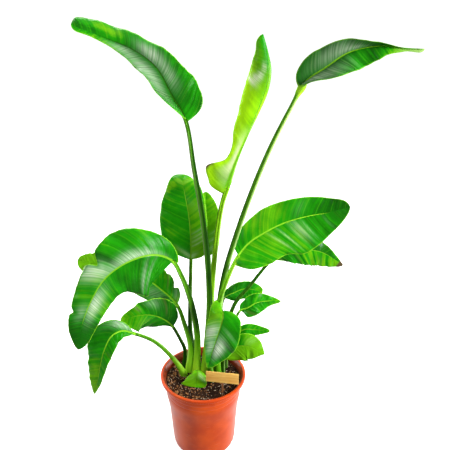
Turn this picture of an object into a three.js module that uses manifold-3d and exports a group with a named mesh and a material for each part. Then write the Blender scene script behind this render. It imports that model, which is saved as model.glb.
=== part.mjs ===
// A potted bird of paradise: a clump of stalked leaves in a terracotta-coloured plastic nursery pot.
// Millimetres, +Z up. The origin is the centre of the pot's underside, and the viewer stands at -Y.

import * as THREE from 'three';
import { RoundedBoxGeometry } from 'three/addons/geometries/RoundedBoxGeometry.js';
import { mergeVertices } from 'three/addons/utils/BufferGeometryUtils.js';
import Module from 'manifold-3d';

const wasm = await Module();
wasm.setup();

// Clearance between pieces that touch, and how far a cut runs on past the surface that it opens
const GAP = 0.3;
const OVERRUN = 3;

// The pot
const POT_HEIGHT = 232;
const LIP_RADIUS = 120;
const LIP_INNER_RADIUS = 111;
const LIP_DEPTH = 10;
const LIP_ROUND = 2;
const COLLAR_TOP_RADIUS = 108;
const COLLAR_LOW_RADIUS = 104.5;
const COLLAR_LOW_Z = 156;
const LEDGE = 2;
const BODY_TOP_RADIUS = 99;
const BODY_LOW_RADIUS = 90;
const BODY_LOW_Z = 10;
const FOOT_RADIUS = 88;
const WALL = 2.5;
const FOOT_RING_INNER_RADIUS = 79;
const CENTRE_DISC_RADIUS = 28;
const UNDERSIDE_RECESS = 5;
const FLOOR_TOP = 9;
const FLOOR_CORNER = 6;
const DRAIN_COUNT = 6;
const DRAIN_RADIUS = 6;
const DRAIN_CIRCLE = 56;
const NOTCH_COUNT = 8;
const NOTCH_WIDTH = 12;
const NOTCH_HEIGHT = 4;
const POT_SIDES = 48;

// The potting mix and the wells that the stalks stand in
const SOIL_TOP = 212;
const LUMP_HEIGHTS = [1.6, 1];
const LUMP_LENGTHS = [9, 11, 14];
const SOIL_SIDES = 36;
const SOIL_RINGS = [98, 82, 66, 50, 34, 18];
const WELL_FLOOR = 186;
const WELL_CLEARANCE = 1.2;
const WELL_SIDES = 12;

// The wooden plant tag and its stick
const TAG_WIDTH = 90;
const TAG_HEIGHT = 34;
const TAG_THICKNESS = 3;
const TAG_EDGE = 0.6;
const TAG_FOOT = [55, -60];
const TAG_CENTRE_Z = 266;
const TAG_TURN = -9;
const STICK_WIDTH = 5;
const STICK_THICKNESS = 2.5;
const STICK_OVERLAP = 26;

// How finely the leaves are cut
const PATH_STEPS = 100;
const STALK_PITCH = 62;
const BLADE_PITCH = 21;
const FEWEST_STALK_STEPS = 3;
const FEWEST_BLADE_STEPS = 8;
const RING_POINTS = 14;

// What all stalks share
const WELL_EXIT = 3;
const STALK_FACE = [0, -1, 0];
const STALK_FLATNESS = 0.8;

// What all blades share. The rib stands out under the blade by the keel, a multiple of its radius.
const BLADE_THICKNESS = 0.9;
const MID_COLUMN = 0.55;
const RIB_TAPER = 0.8;
const RIB_SHARE_LIMIT = 0.4;
const KEEL = 1.2;
const LOBE_REACH = 0.12;
const EDGE_SWEEP = 0.12;
const SWEEP_POWER = 1.5;
const WAVE_PHASE = { left: 0.55, right: 0.13 };

// Colours, with the roughness of each finish
const GREEN = { deep: '#1f6b1c', mid: '#2f8a22', fresh: '#4fa52c', young: '#9acb2e' };
const LEAF_ROUGHNESS = 0.4;
const POT_FINISH = ['#c8552b', 0.45];
const SOIL_FINISH = ['#3a281c', 0.95];
const PLATE_FINISH = ['#d9b98a', 0.7];
const STICK_FINISH = ['#c9a574', 0.75];

// Each leaf grows from its foot in the soil, up the stalk points to the neck, and out along the rib to the
// tip. face turns the upper side along the rib. Each side of the blade has its half widths from neck to tip,
// the angle it folds up from flat at the rib, and the further angle that it curls through to its edge.
const LEAVES = [
  {
    name: 'leaf_top_left',
    colour: GREEN.deep,
    foot: [4, 24],
    girth: [9, 6.5, 5],
    stalk: [[20, 5, 470], [10, -5, 685], [-10, -5, 850]],
    rib: [[-30, 0, 970], [-60, 15, 1020], [-95, 35, 1080], [-150, 60, 1120], [-225, 75, 1150],
      [-275, 55, 1170]],
    face: [[0.5, -0.55, 0.65], [0.55, -0.7, 0.45], [0.1, -0.7, 0.7], [0.05, -0.75, 0.7], [0.7, -0.65, 0.3]],
    left: { half: [18, 50, 57, 43, 34, 27, 21], fold: [50, 42, 28, 30, 20], curl: [0, 0] },
    right: { half: [50, 69, 57, 37, 34, 30, 21], fold: [35, 30, 26, 30, 20], curl: [0, 0], lobe: 0.12 },
    wave: { height: 2, count: 5 },
  },
  {
    name: 'leaf_young',
    colour: GREEN.young,
    foot: [20, 42],
    girth: [9, 6.5, 5],
    stalk: [[25, 30, 455], [40, 30, 640], [55, 35, 740]],
    rib: [[70, 40, 785], [85, 40, 840], [105, 40, 885], [145, 45, 985], [165, 45, 1060], [160, 50, 1120],
      [145, 55, 1150]],
    face: [[-0.1, -1, 0.05], [-0.15, -1, 0.05], [-0.05, -1, 0.15]],
    left: {
      half: [50, 43, 36, 43, 60, 58, 36, 14], fold: [10, 10, 12, 12], curl: [10, 20, 35, 40], lobe: 0.15,
    },
    right: { half: [14, 14, 19, 34, 43, 41, 31, 14], fold: [60, 80, 105, 110], curl: [20, 40, 50, 50] },
    wave: { height: 2, count: 3 },
  },
  {
    name: 'leaf_top_right',
    colour: GREEN.deep,
    foot: [34, 20],
    girth: [9, 6.5, 4.5],
    stalk: [[55, -2, 510], [100, -42, 715], [160, -62, 905], [205, -65, 1010]],
    rib: [[235, -65, 1070], [275, -65, 1100], [325, -70, 1135], [390, -85, 1150], [430, -90, 1145],
      [470, -100, 1145]],
    face: [[-0.4, -0.6, 0.7], [-0.4, -0.9, 0.15], [-0.25, -0.9, -0.3], [-0.15, -0.9, -0.35],
      [-0.25, -0.95, 0.15]],
    left: { half: [27, 44, 42, 36, 19, 5, 3], fold: [38, 30, 38, 55, 60], curl: [0, 0], lobe: 0.4 },
    right: { half: [17, 31, 40, 38, 21, 6, 3], fold: [42, 32, 38, 55, 60], curl: [0, 0], lobe: 0.1 },
    wave: { height: 1.8, count: 5 },
  },
  {
    name: 'leaf_upright_left',
    colour: GREEN.deep,
    foot: [-14, 48],
    girth: [6, 5, 4.5],
    stalk: [[-35, 55, 320], [-35, 60, 435]],
    rib: [[-30, 70, 565], [-30, 80, 630], [-35, 90, 690], [-45, 110, 730], [-55, 130, 760], [-55, 150, 765]],
    face: [[-0.3, -0.95, 0.15], [-0.25, -0.95, 0.2], [0.15, -0.2, 0.95]],
    left: { half: [40, 72, 77, 58, 24], fold: [10, 10], curl: [-15, -10, -20] },
    right: { half: [37, 56, 61, 48, 24], fold: [10, 10], curl: [-15, -10, -20] },
    wave: { height: 1.5, count: 4 },
  },
  {
    name: 'leaf_upright_back',
    colour: GREEN.mid,
    foot: [0, 58],
    girth: [6, 5, 4],
    stalk: [[15, 90, 350], [20, 110, 435]],
    rib: [[25, 125, 520], [20, 135, 585], [15, 150, 640], [5, 180, 715]],
    face: [[0.05, -1, 0.15], [0.05, -0.9, 0.4]],
    left: { half: [28, 47, 50, 36, 14], fold: [15, 15], curl: [0, 0] },
    right: { half: [14, 25, 32, 25, 11], fold: [15, 15], curl: [0, 0] },
    wave: { height: 1.5, count: 4 },
  },
  {
    name: 'leaf_right',
    colour: GREEN.mid,
    foot: [42, -4],
    girth: [9, 6.5, 5],
    stalk: [[40, -25, 445], [65, -38, 555]],
    rib: [[97, -18, 620], [125, -4, 650], [165, 4, 675], [205, 10, 695], [245, 10, 710], [285, 10, 720],
      [325, 5, 730], [370, -5, 750]],
    face: [[-0.35, -0.85, 0.4], [-0.15, -0.9, 0.4], [-0.45, -0.85, 0.25]],
    left: { half: [28, 43, 55, 53, 47, 35, 20], fold: [10, 8, 5], curl: [0, 5, 0] },
    right: { half: [50, 71, 71, 81, 68, 38, 15], fold: [10, 8, 5], curl: [-10, -10, 0], lobe: 0.25 },
    wave: { height: 1.8, count: 5 },
  },
  {
    name: 'leaf_right_back',
    colour: GREEN.deep,
    foot: [42, 42],
    girth: [6, 4.5, 4],
    stalk: [[80, 75, 410], [120, 90, 460]],
    rib: [[195, 115, 535], [235, 120, 555], [285, 125, 560], [330, 130, 550], [365, 130, 530],
      [395, 125, 510]],
    face: [[-0.15, -0.9, 0.45], [0.2, -0.9, 0.45], [0.05, -0.95, 0.35]],
    left: { half: [14, 36, 36, 19, 6], fold: [5, 0, 0], curl: [0, 0] },
    right: { half: [14, 33, 42, 33, 11], fold: [0, -10, -10], curl: [-20, -20] },
    wave: { height: 3, count: 5 },
  },
  {
    name: 'leaf_arching_left',
    colour: GREEN.fresh,
    foot: [-20, 22],
    girth: [9, 7, 5.5],
    stalk: [[-15, 15, 350], [-30, -5, 480], [-50, -25, 565]],
    rib: [[-70, -45, 620], [-110, -70, 650], [-165, -100, 655], [-220, -125, 630], [-255, -140, 580],
      [-285, -150, 510], [-300, -155, 430]],
    face: [[0.65, -0.75, 0.2], [0.4, -0.75, 0.5], [0.05, -0.95, 0.3], [0.05, -1, 0.1], [0.15, -1, 0.05]],
    left: { half: [81, 100, 102, 71, 38, 28, 17], fold: [-10, -10, -10, 0], curl: [-10, -20, -10] },
    right: { half: [14, 47, 64, 43, 40, 31, 14], fold: [10, 5, 0, 0], curl: [-20, -20, 0] },
    wave: { height: 2.5, count: 5 },
    sweep: 0,
  },
  {
    name: 'leaf_low_front_left',
    colour: GREEN.mid,
    foot: [-56, 12],
    girth: [8, 5.5, 4.5],
    stalk: [[-90, -20, 310], [-130, -50, 380]],
    rib: [[-175, -80, 425], [-200, -90, 440], [-225, -105, 435], [-245, -115, 400], [-260, -115, 350],
      [-270, -115, 305], [-285, -110, 255]],
    face: [[0.6, -0.6, 0.55], [-0.35, -0.95, 0.1], [-0.35, -0.95, 0]],
    left: { half: [15, 25, 20, 13, 5], fold: [10, 20, 20], curl: [-10, -10] },
    right: { half: [15, 46, 38, 28, 13], fold: [15, 20, 15], curl: [-10, -10] },
    wave: { height: 2, count: 5 },
  },
  {
    name: 'leaf_low_left',
    colour: GREEN.mid,
    foot: [-56, 40],
    girth: [6, 4.5, 4],
    stalk: [[-52, 34, 285], [-66, 20, 340]],
    rib: [[-82, 8, 385], [-95, 2, 405], [-120, -8, 425], [-145, -18, 440], [-175, -27, 445],
      [-215, -30, 435]],
    face: [[0.3, -0.9, 0.1], [0.2, -0.95, 0.1], [-0.05, -0.9, 0.4]],
    left: { half: [14, 43, 59, 43, 16], fold: [0, 0], curl: [-20, -20, 0] },
    right: { half: [22, 43, 38, 19, 8], fold: [10, 10, 0], curl: [-20, -20, 0] },
    wave: { height: 2, count: 4 },
  },
  {
    name: 'leaf_back_left',
    colour: GREEN.mid,
    foot: [-40, 30],
    girth: [9, 7, 5],
    stalk: [[-35, 22, 310], [-50, 25, 380]],
    rib: [[-70, 32, 440], [-110, 48, 475], [-155, 68, 500], [-215, 88, 512], [-285, 108, 520],
      [-350, 118, 530]],
    face: [[0.15, -0.85, 0.5], [-0.2, -0.8, 0.55], [-0.05, -0.85, 0.55]],
    left: { half: [27, 49, 46, 36, 25], fold: [10, 10], curl: [-20, -10, 0] },
    right: { half: [33, 49, 46, 36, 22], fold: [15, 15, 10], curl: [-20, -10, 0] },
    wave: { height: 2, count: 5 },
  },
  {
    name: 'leaf_front',
    colour: GREEN.fresh,
    foot: [24, -12],
    girth: [7, 5, 4.5],
    stalk: [[20, -32, 330], [45, -45, 420]],
    rib: [[65, -52, 470], [66, -64, 464], [60, -73, 440], [45, -80, 400], [30, -85, 360], [20, -85, 320]],
    face: [[0, -0.4, 0.9], [-0.15, -0.95, 0.25], [-0.15, -1, 0.05]],
    left: { half: [39, 51, 51, 31, 16], fold: [5, 10, 10], curl: [-10, -10, 0] },
    right: { half: [39, 44, 39, 23, 10], fold: [5, 5, 10], curl: [-20, -20, 0] },
    wave: { height: 1.5, count: 4 },
  },
  {
    name: 'leaf_small_back_right',
    colour: GREEN.fresh,
    foot: [32, 60],
    girth: [6, 4.5, 3.5],
    stalk: [[45, 70, 295], [50, 90, 355]],
    rib: [[60, 110, 410], [90, 125, 420], [115, 135, 425], [145, 140, 420], [170, 140, 405]],
    face: [[0.2, -0.75, 0.6], [0.2, -0.8, 0.55], [0.25, -0.9, 0.4]],
    left: { half: [14, 23, 23, 17, 9], fold: [10, 10, 0], curl: [0, 0] },
    right: { half: [14, 23, 26, 20, 9], fold: [-10, -10, 0], curl: [-20, -20] },
    wave: { height: 1.5, count: 4 },
  },
  {
    name: 'leaf_small_right',
    colour: GREEN.mid,
    foot: [56, 30],
    girth: [6, 4.5, 3.5],
    stalk: [[62, 32, 305], [85, 45, 365]],
    rib: [[105, 55, 405], [125, 60, 410], [150, 70, 420], [185, 80, 420], [220, 85, 415]],
    face: [[0.05, -0.8, 0.6], [0.2, -0.85, 0.5]],
    left: { half: [20, 28, 25, 14, 6], fold: [5, 5], curl: [-15, -10] },
    right: { half: [20, 31, 28, 14, 6], fold: [0, -5], curl: [-15, -10] },
    wave: { height: 2, count: 4 },
  },
  {
    name: 'leaf_small_low_right',
    colour: GREEN.deep,
    foot: [64, 46],
    girth: [5, 4, 3.5],
    stalk: [[68, 46, 270], [76, 50, 305]],
    rib: [[95, 50, 330], [120, 50, 345], [145, 55, 340], [190, 55, 335]],
    face: [[-0.3, -0.85, 0.45], [0.05, -0.8, 0.55]],
    left: { half: [8, 14, 16, 11, 6], fold: [10, 10], curl: [0, 0] },
    right: { half: [8, 17, 17, 11, 6], fold: [-5, -5], curl: [-10, -10] },
    wave: { height: 1.5, count: 3 },
  },
  {
    name: 'leaf_small_front_right',
    colour: GREEN.fresh,
    foot: [56, 10],
    girth: [6, 4.5, 3.5],
    stalk: [[57, 0, 270], [60, -6, 305]],
    rib: [[72, -10, 320], [100, -15, 335], [125, -20, 340], [170, -30, 320]],
    face: [[-0.35, -0.8, 0.45], [0.05, -0.85, 0.55]],
    left: { half: [16, 27, 33, 25, 11], fold: [5, 5], curl: [-10, -10] },
    right: { half: [25, 41, 44, 36, 16], fold: [-5, -5], curl: [-20, -20] },
    wave: { height: 2, count: 4 },
  },
  {
    name: 'leaf_shoot_front',
    colour: GREEN.mid,
    foot: [-6, -4],
    girth: [7, 6, 5],
    stalk: [[-13, -12, 240]],
    rib: [[-15, -18, 253], [-15, -28, 252], [-16, -37, 240], [-18, -42, 219]],
    face: [[0.05, 0.05, 1], [-0.05, -1, 0.2]],
    left: { half: [8, 17, 25, 33, 33], fold: [-10, -10], curl: [-10, -10] },
    right: { half: [8, 17, 25, 28, 25], fold: [-10, -10], curl: [-10, -10] },
    wave: { height: 0.5, count: 3 },
  },
];

// Shared helpers

function spline(values, t) {
  const points = values.map((value, index) => new THREE.Vector2(index, value));
  return new THREE.SplineCurve(points).getPoint(t).y;
}

function vectorSpline(vectors, t) {
  return new THREE.Vector3(...[0, 1, 2].map((axis) => spline(vectors.map((vector) => vector[axis]), t)));
}

function toSolid(geometry) {
  const plain = geometry.clone();
  plain.deleteAttribute('normal');
  plain.deleteAttribute('uv');
  const welded = mergeVertices(plain);
  return new wasm.Manifold(new wasm.Mesh({
    numProp: 3,
    vertProperties: new Float32Array(welded.attributes.position.array),
    triVerts: new Uint32Array(welded.index.array),
  }));
}

function toGeometry(solid) {
  const { vertProperties, triVerts } = solid.getMesh();
  const geometry = new THREE.BufferGeometry();
  geometry.setAttribute('position', new THREE.BufferAttribute(vertProperties, 3));
  geometry.setIndex(new THREE.BufferAttribute(triVerts, 1));
  geometry.computeVertexNormals();
  return geometry;
}

// LatheGeometry turns round +Y, so the result is stood up on +Z
function lathe(profile, sides) {
  const geometry = new THREE.LatheGeometry(profile.map(([radius, z]) => new THREE.Vector2(radius, z)), sides);
  return geometry.rotateX(Math.PI / 2);
}

function uprightCylinder(radius, bottom, top, sides) {
  return new THREE.CylinderGeometry(radius, radius, top - bottom, sides)
    .rotateX(Math.PI / 2)
    .translate(0, 0, (bottom + top) / 2);
}

function mesh(name, geometry, colour, roughness) {
  const material = new THREE.MeshStandardMaterial({ color: colour, roughness, metalness: 0 });
  const object = new THREE.Mesh(geometry, material);
  object.name = name;
  return object;
}

// The pot

function innerWallRadius(z) {
  const share = (z - BODY_LOW_Z) / (COLLAR_LOW_Z - LEDGE - BODY_LOW_Z);
  return THREE.MathUtils.lerp(BODY_LOW_RADIUS, BODY_TOP_RADIUS, share) - WALL;
}

function innerCollarRadius(z) {
  const share = (z - COLLAR_LOW_Z) / (POT_HEIGHT - LIP_DEPTH - COLLAR_LOW_Z);
  return THREE.MathUtils.lerp(COLLAR_LOW_RADIUS, COLLAR_TOP_RADIUS, share) - WALL;
}

function makePot() {
  const lipLow = POT_HEIGHT - LIP_DEPTH;
  const outside = [
    [0, 0],
    [CENTRE_DISC_RADIUS, 0],
    [CENTRE_DISC_RADIUS + LEDGE, UNDERSIDE_RECESS],
    [FOOT_RING_INNER_RADIUS, UNDERSIDE_RECESS],
    [FOOT_RING_INNER_RADIUS + LEDGE, 0],
    [FOOT_RADIUS, 0],
    [BODY_LOW_RADIUS, BODY_LOW_Z],
    [BODY_TOP_RADIUS, COLLAR_LOW_Z - LEDGE],
    [COLLAR_LOW_RADIUS, COLLAR_LOW_Z],
    [COLLAR_TOP_RADIUS, lipLow],
    [LIP_RADIUS - LIP_ROUND, lipLow],
    [LIP_RADIUS, lipLow + LIP_ROUND],
    [LIP_RADIUS, POT_HEIGHT - LIP_ROUND],
    [LIP_RADIUS - LIP_ROUND, POT_HEIGHT],
  ];
  const inside = [
    [LIP_INNER_RADIUS + LIP_ROUND, POT_HEIGHT],
    [LIP_INNER_RADIUS, POT_HEIGHT - LIP_ROUND],
    [innerCollarRadius(lipLow), lipLow],
    [innerCollarRadius(COLLAR_LOW_Z), COLLAR_LOW_Z],
    [innerWallRadius(COLLAR_LOW_Z - LEDGE), COLLAR_LOW_Z - LEDGE],
    [innerWallRadius(FLOOR_TOP + FLOOR_CORNER), FLOOR_TOP + FLOOR_CORNER],
    [innerWallRadius(FLOOR_TOP) - FLOOR_CORNER, FLOOR_TOP],
    [0, FLOOR_TOP],
  ];
  let solid = toSolid(lathe([...outside, ...inside], POT_SIDES));
  for (let i = 0; i < DRAIN_COUNT; i += 1) {
    const angle = (2 * Math.PI * i) / DRAIN_COUNT;
    const drain = uprightCylinder(DRAIN_RADIUS, 0, FLOOR_TOP + OVERRUN, WELL_SIDES)
      .translate(DRAIN_CIRCLE * Math.cos(angle), DRAIN_CIRCLE * Math.sin(angle), 0);
    solid = solid.subtract(toSolid(drain));
  }
  const notchLength = BODY_LOW_RADIUS - FOOT_RING_INNER_RADIUS + 2 * OVERRUN;
  const notchReach = (FOOT_RING_INNER_RADIUS + BODY_LOW_RADIUS) / 2;
  for (let i = 0; i < NOTCH_COUNT; i += 1) {
    const notch = new THREE.BoxGeometry(notchLength, NOTCH_WIDTH, 2 * NOTCH_HEIGHT)
      .translate(notchReach, 0, 0)
      .rotateZ((2 * Math.PI * (i + 0.5)) / NOTCH_COUNT);
    solid = solid.subtract(toSolid(notch));
  }
  return mesh('pot', toGeometry(solid), ...POT_FINISH);
}

// The potting mix, a plug that fills the pot, with a lumpy top and one well for each stalk and the stick

function lumpHeight(x, y) {
  const lumps = Math.sin(x / LUMP_LENGTHS[0]) * Math.cos(y / LUMP_LENGTHS[1]);
  const swells = Math.sin((x + 2 * y) / LUMP_LENGTHS[2]);
  return LUMP_HEIGHTS[0] * lumps + LUMP_HEIGHTS[1] * swells;
}

function makeSoil(wells) {
  const collarLow = COLLAR_LOW_Z + GAP;
  const profile = [
    [0, FLOOR_TOP + GAP],
    [innerWallRadius(FLOOR_TOP) - FLOOR_CORNER - GAP, FLOOR_TOP + GAP],
    [innerWallRadius(FLOOR_TOP + FLOOR_CORNER) - GAP, FLOOR_TOP + FLOOR_CORNER + GAP],
    [innerWallRadius(COLLAR_LOW_Z - LEDGE) - GAP, COLLAR_LOW_Z - LEDGE + GAP],
    [innerCollarRadius(collarLow) - GAP, COLLAR_LOW_Z + 2 * GAP],
    [innerCollarRadius(SOIL_TOP) - GAP, SOIL_TOP],
    ...SOIL_RINGS.map((radius) => [radius, SOIL_TOP]),
    [0, SOIL_TOP],
  ];
  const plug = lathe(profile, SOIL_SIDES);
  const position = plug.attributes.position;
  for (let i = 0; i < position.count; i += 1) {
    const radius = Math.hypot(position.getX(i), position.getY(i));
    if (position.getZ(i) > SOIL_TOP - GAP && radius < SOIL_RINGS[0] + GAP) {
      position.setZ(i, SOIL_TOP + lumpHeight(position.getX(i), position.getY(i)));
    }
  }
  let solid = toSolid(plug);
  for (const { x, y, radius } of wells) {
    const well = uprightCylinder(radius, WELL_FLOOR, SOIL_TOP + OVERRUN, WELL_SIDES).translate(x, y, 0);
    solid = solid.subtract(toSolid(well));
  }
  return mesh('soil', toGeometry(solid), ...SOIL_FINISH);
}

// The leaves

// The line that a leaf follows from the bottom of its well to its tip, and the share of it below the neck
function leafPath(leaf) {
  const [x, y] = leaf.foot;
  const stalk = [[x, y, WELL_FLOOR + GAP], [x, y, SOIL_TOP + WELL_EXIT], ...leaf.stalk];
  const points = [...stalk, ...leaf.rib].map((point) => new THREE.Vector3(...point));
  const curve = new THREE.CatmullRomCurve3(points);
  curve.arcLengthDivisions = PATH_STEPS * (points.length - 1);
  const lengths = curve.getLengths();
  const stalkLength = lengths[PATH_STEPS * stalk.length];
  return {
    curve,
    stalkLength,
    ribLength: lengths.at(-1) - stalkLength,
    neck: stalkLength / lengths.at(-1),
    exit: lengths[PATH_STEPS] / stalkLength,
  };
}

function frameAt(curve, u, face) {
  const centre = curve.getPointAt(u);
  const tangent = curve.getTangentAt(u);
  const normal = face.clone().addScaledVector(tangent, -face.dot(tangent)).normalize();
  const across = new THREE.Vector3().crossVectors(tangent, normal);
  return { centre, tangent, normal, across };
}

function stalkRing(frame, radius) {
  const ring = [];
  for (let k = 0; k < RING_POINTS; k += 1) {
    const angle = Math.PI * (1 - (2 * k + 1) / RING_POINTS);
    const up = radius * Math.sin(angle) * (angle > 0 ? STALK_FLATNESS : 1);
    ring.push(frame.centre.clone()
      .addScaledVector(frame.across, radius * Math.cos(angle))
      .addScaledVector(frame.normal, up));
  }
  return ring;
}

// The keys of a half width lie evenly round a half circle over the rib, so both ends of a blade close round
function halfWidth(keys, t) {
  return Math.max(spline([0, ...keys, 0], Math.acos(1 - 2 * t) / Math.PI), 0);
}

// A point of the blade's middle surface, a share of the half width out from the rib, and its normal
function bladePoint(frame, leaf, sideName, share, t) {
  const side = leaf[sideName];
  const sign = sideName === 'left' ? -1 : 1;
  const widest = Math.max(...side.half);
  const half = Math.max(halfWidth(side.half, t), leaf.girth.at(-1) * (1 - t));
  const fold = THREE.MathUtils.degToRad(spline(side.fold, t));
  const curl = THREE.MathUtils.degToRad(spline(side.curl, t)) * share;
  const lean = fold + curl / 2;
  const ripple = Math.sin(2 * Math.PI * (leaf.wave.count * t + WAVE_PHASE[sideName]));
  const wave = leaf.wave.height * share ** 2 * ripple * Math.min(1, (2 * half / widest) ** 2);
  const lobe = (side.lobe ?? 0) * widest * share * Math.exp(-((t / LOBE_REACH) ** 2));
  const sweep = (leaf.sweep ?? EDGE_SWEEP) * half * share ** SWEEP_POWER;
  const point = frame.centre.clone()
    .addScaledVector(frame.across, sign * half * share * Math.cos(lean))
    .addScaledVector(frame.normal, half * share * Math.sin(lean) + wave)
    .addScaledVector(frame.tangent, sweep - lobe);
  const normal = frame.normal.clone().multiplyScalar(Math.cos(fold + curl))
    .addScaledVector(frame.across, -sign * Math.sin(fold + curl));
  return { point, normal, half };
}

// A ring round the blade: along the upper side from left to right, then back along the underside
function bladeRing(frame, leaf, t) {
  const ribRadius = leaf.girth.at(-1) * (1 - RIB_TAPER * t);
  const upper = [];
  const lower = [];
  for (const sideName of ['left', 'right']) {
    const { half } = bladePoint(frame, leaf, sideName, 0, t);
    const ribShare = Math.min(ribRadius / half, RIB_SHARE_LIMIT);
    const shares = sideName === 'left' ? [1, MID_COLUMN, ribShare] : [0, ribShare, MID_COLUMN, 1];
    for (const share of shares) {
      const { point, normal } = bladePoint(frame, leaf, sideName, share, t);
      const keel = share === 0 ? KEEL * ribRadius : 0;
      upper.push(point.clone().addScaledVector(normal, BLADE_THICKNESS / 2));
      lower.push(point.clone().addScaledVector(normal, -BLADE_THICKNESS / 2 - keel));
    }
  }
  return [...upper, ...lower.reverse()];
}

// Rings of points joined by triangles, split alike on both faces, and closed by a fan at each end
function loft(rings, start, end) {
  const points = [...rings.flat(), start, end];
  const index = [];
  const at = (ring, k) => ring * RING_POINTS + (k % RING_POINTS);
  const startIndex = rings.length * RING_POINTS;
  const endIndex = startIndex + 1;
  const last = rings.length - 1;
  for (let ring = 0; ring < last; ring += 1) {
    for (let k = 0; k < RING_POINTS; k += 1) {
      const [a, b] = [at(ring, k), at(ring, k + 1)];
      const [c, d] = [at(ring + 1, k + 1), at(ring + 1, k)];
      if (k < RING_POINTS / 2) {
        index.push(a, b, c, a, c, d);
      } else {
        index.push(a, b, d, b, c, d);
      }
    }
  }
  for (let k = 0; k < RING_POINTS; k += 1) {
    index.push(startIndex, at(0, k + 1), at(0, k));
    index.push(endIndex, at(last, k), at(last, k + 1));
  }
  const geometry = new THREE.BufferGeometry().setFromPoints(points);
  geometry.setIndex(index);
  geometry.computeVertexNormals();
  return geometry;
}

function makeLeaf(leaf) {
  const { curve, stalkLength, ribLength, neck, exit } = leafPath(leaf);
  const neckFace = new THREE.Vector3(...leaf.face[0]);
  const stalkSteps = Math.max(Math.round(stalkLength / STALK_PITCH), FEWEST_STALK_STEPS);
  const bladeSteps = Math.max(Math.round(ribLength / BLADE_PITCH), FEWEST_BLADE_STEPS);
  const rings = [];
  for (let i = -1; i <= stalkSteps; i += 1) {
    const share = i < 0 ? 0 : THREE.MathUtils.lerp(exit, 1, i / stalkSteps);
    const face = new THREE.Vector3(...STALK_FACE).lerp(neckFace, share ** 2);
    rings.push(stalkRing(frameAt(curve, neck * share, face), spline(leaf.girth, share)));
  }
  for (let i = 1; i < bladeSteps; i += 1) {
    const t = (1 - Math.cos((Math.PI * i) / bladeSteps)) / 2;
    const frame = frameAt(curve, THREE.MathUtils.lerp(neck, 1, t), vectorSpline(leaf.face, t));
    rings.push(bladeRing(frame, leaf, t));
  }
  const geometry = loft(rings, curve.getPointAt(0), curve.getPointAt(1));
  return mesh(leaf.name, geometry, leaf.colour, LEAF_ROUGHNESS);
}

// The tag, a plate on the front of a stick that stands in the soil, both turned about the stick

function makeTag() {
  const plateShape = new RoundedBoxGeometry(TAG_WIDTH, TAG_THICKNESS, TAG_HEIGHT, 1, TAG_EDGE);
  const plate = mesh('tag_plate', toGeometry(toSolid(plateShape)), ...PLATE_FINISH);
  plate.position.set(0, -(TAG_THICKNESS + STICK_THICKNESS) / 2 - GAP, TAG_CENTRE_Z);
  const length = TAG_CENTRE_Z - TAG_HEIGHT / 2 + STICK_OVERLAP - WELL_FLOOR - GAP;
  const stickShape = new THREE.BoxGeometry(STICK_WIDTH, STICK_THICKNESS, length);
  const stick = mesh('tag_stick', stickShape, ...STICK_FINISH);
  stick.position.z = WELL_FLOOR + GAP + length / 2;
  const tag = new THREE.Group();
  tag.add(plate, stick);
  tag.position.set(...TAG_FOOT, 0);
  tag.rotation.z = THREE.MathUtils.degToRad(TAG_TURN);
  return tag;
}

// The whole plant

const stems = LEAVES.map(({ foot, girth }) => [...foot, girth[0]]);
stems.push([...TAG_FOOT, STICK_WIDTH / 2]);
const wells = stems.map(([x, y, radius]) => ({ x, y, radius: radius + WELL_CLEARANCE }));

const plant = new THREE.Group();
plant.add(makePot());
plant.add(makeSoil(wells));
for (const leaf of LEAVES) {
  plant.add(makeLeaf(leaf));
}
plant.add(makeTag());

export default plant;
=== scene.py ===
"""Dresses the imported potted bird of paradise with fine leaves, a moulded pot, potting mix and a wooden tag.

The file is laid out as a Blender add-on and is run as a script. Blender's objects are in metres in the frame
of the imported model: X to the right, Y away from the viewer, Z up, the origin at the centre of the pot's
underside. The tables hold millimetres and degrees.
"""

import math

import bmesh
import bpy
import numpy as np
from bpy.props import FloatProperty, FloatVectorProperty, IntProperty, PointerProperty
from mathutils import Matrix, Vector, noise


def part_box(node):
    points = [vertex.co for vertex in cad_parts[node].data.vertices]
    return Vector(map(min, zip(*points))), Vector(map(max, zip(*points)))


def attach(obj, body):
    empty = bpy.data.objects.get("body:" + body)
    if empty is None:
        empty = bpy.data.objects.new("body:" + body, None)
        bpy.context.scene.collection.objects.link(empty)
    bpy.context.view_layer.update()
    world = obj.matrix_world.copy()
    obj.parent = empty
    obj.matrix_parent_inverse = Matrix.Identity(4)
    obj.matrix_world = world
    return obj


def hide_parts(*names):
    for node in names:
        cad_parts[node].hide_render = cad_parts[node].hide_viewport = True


bl_info = {
    "name": "Potted bird of paradise",
    "version": (1, 0, 0),
    "blender": (4, 5, 0),
    "location": "View3D > Sidebar > Plant",
    "description": "Builds the leaves, the pot, the potting mix and the tag around the packed model",
    "category": "Object",
}

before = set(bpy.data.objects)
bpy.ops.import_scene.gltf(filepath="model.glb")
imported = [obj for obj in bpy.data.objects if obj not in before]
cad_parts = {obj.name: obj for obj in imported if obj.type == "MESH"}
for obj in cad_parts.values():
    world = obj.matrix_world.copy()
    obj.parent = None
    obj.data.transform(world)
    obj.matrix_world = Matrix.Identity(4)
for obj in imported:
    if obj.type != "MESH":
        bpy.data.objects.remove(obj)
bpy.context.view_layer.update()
PLATE_LOW, PLATE_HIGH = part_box("tag_plate")
STICK_LOW, STICK_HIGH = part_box("tag_stick")

MM = 0.001

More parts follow.
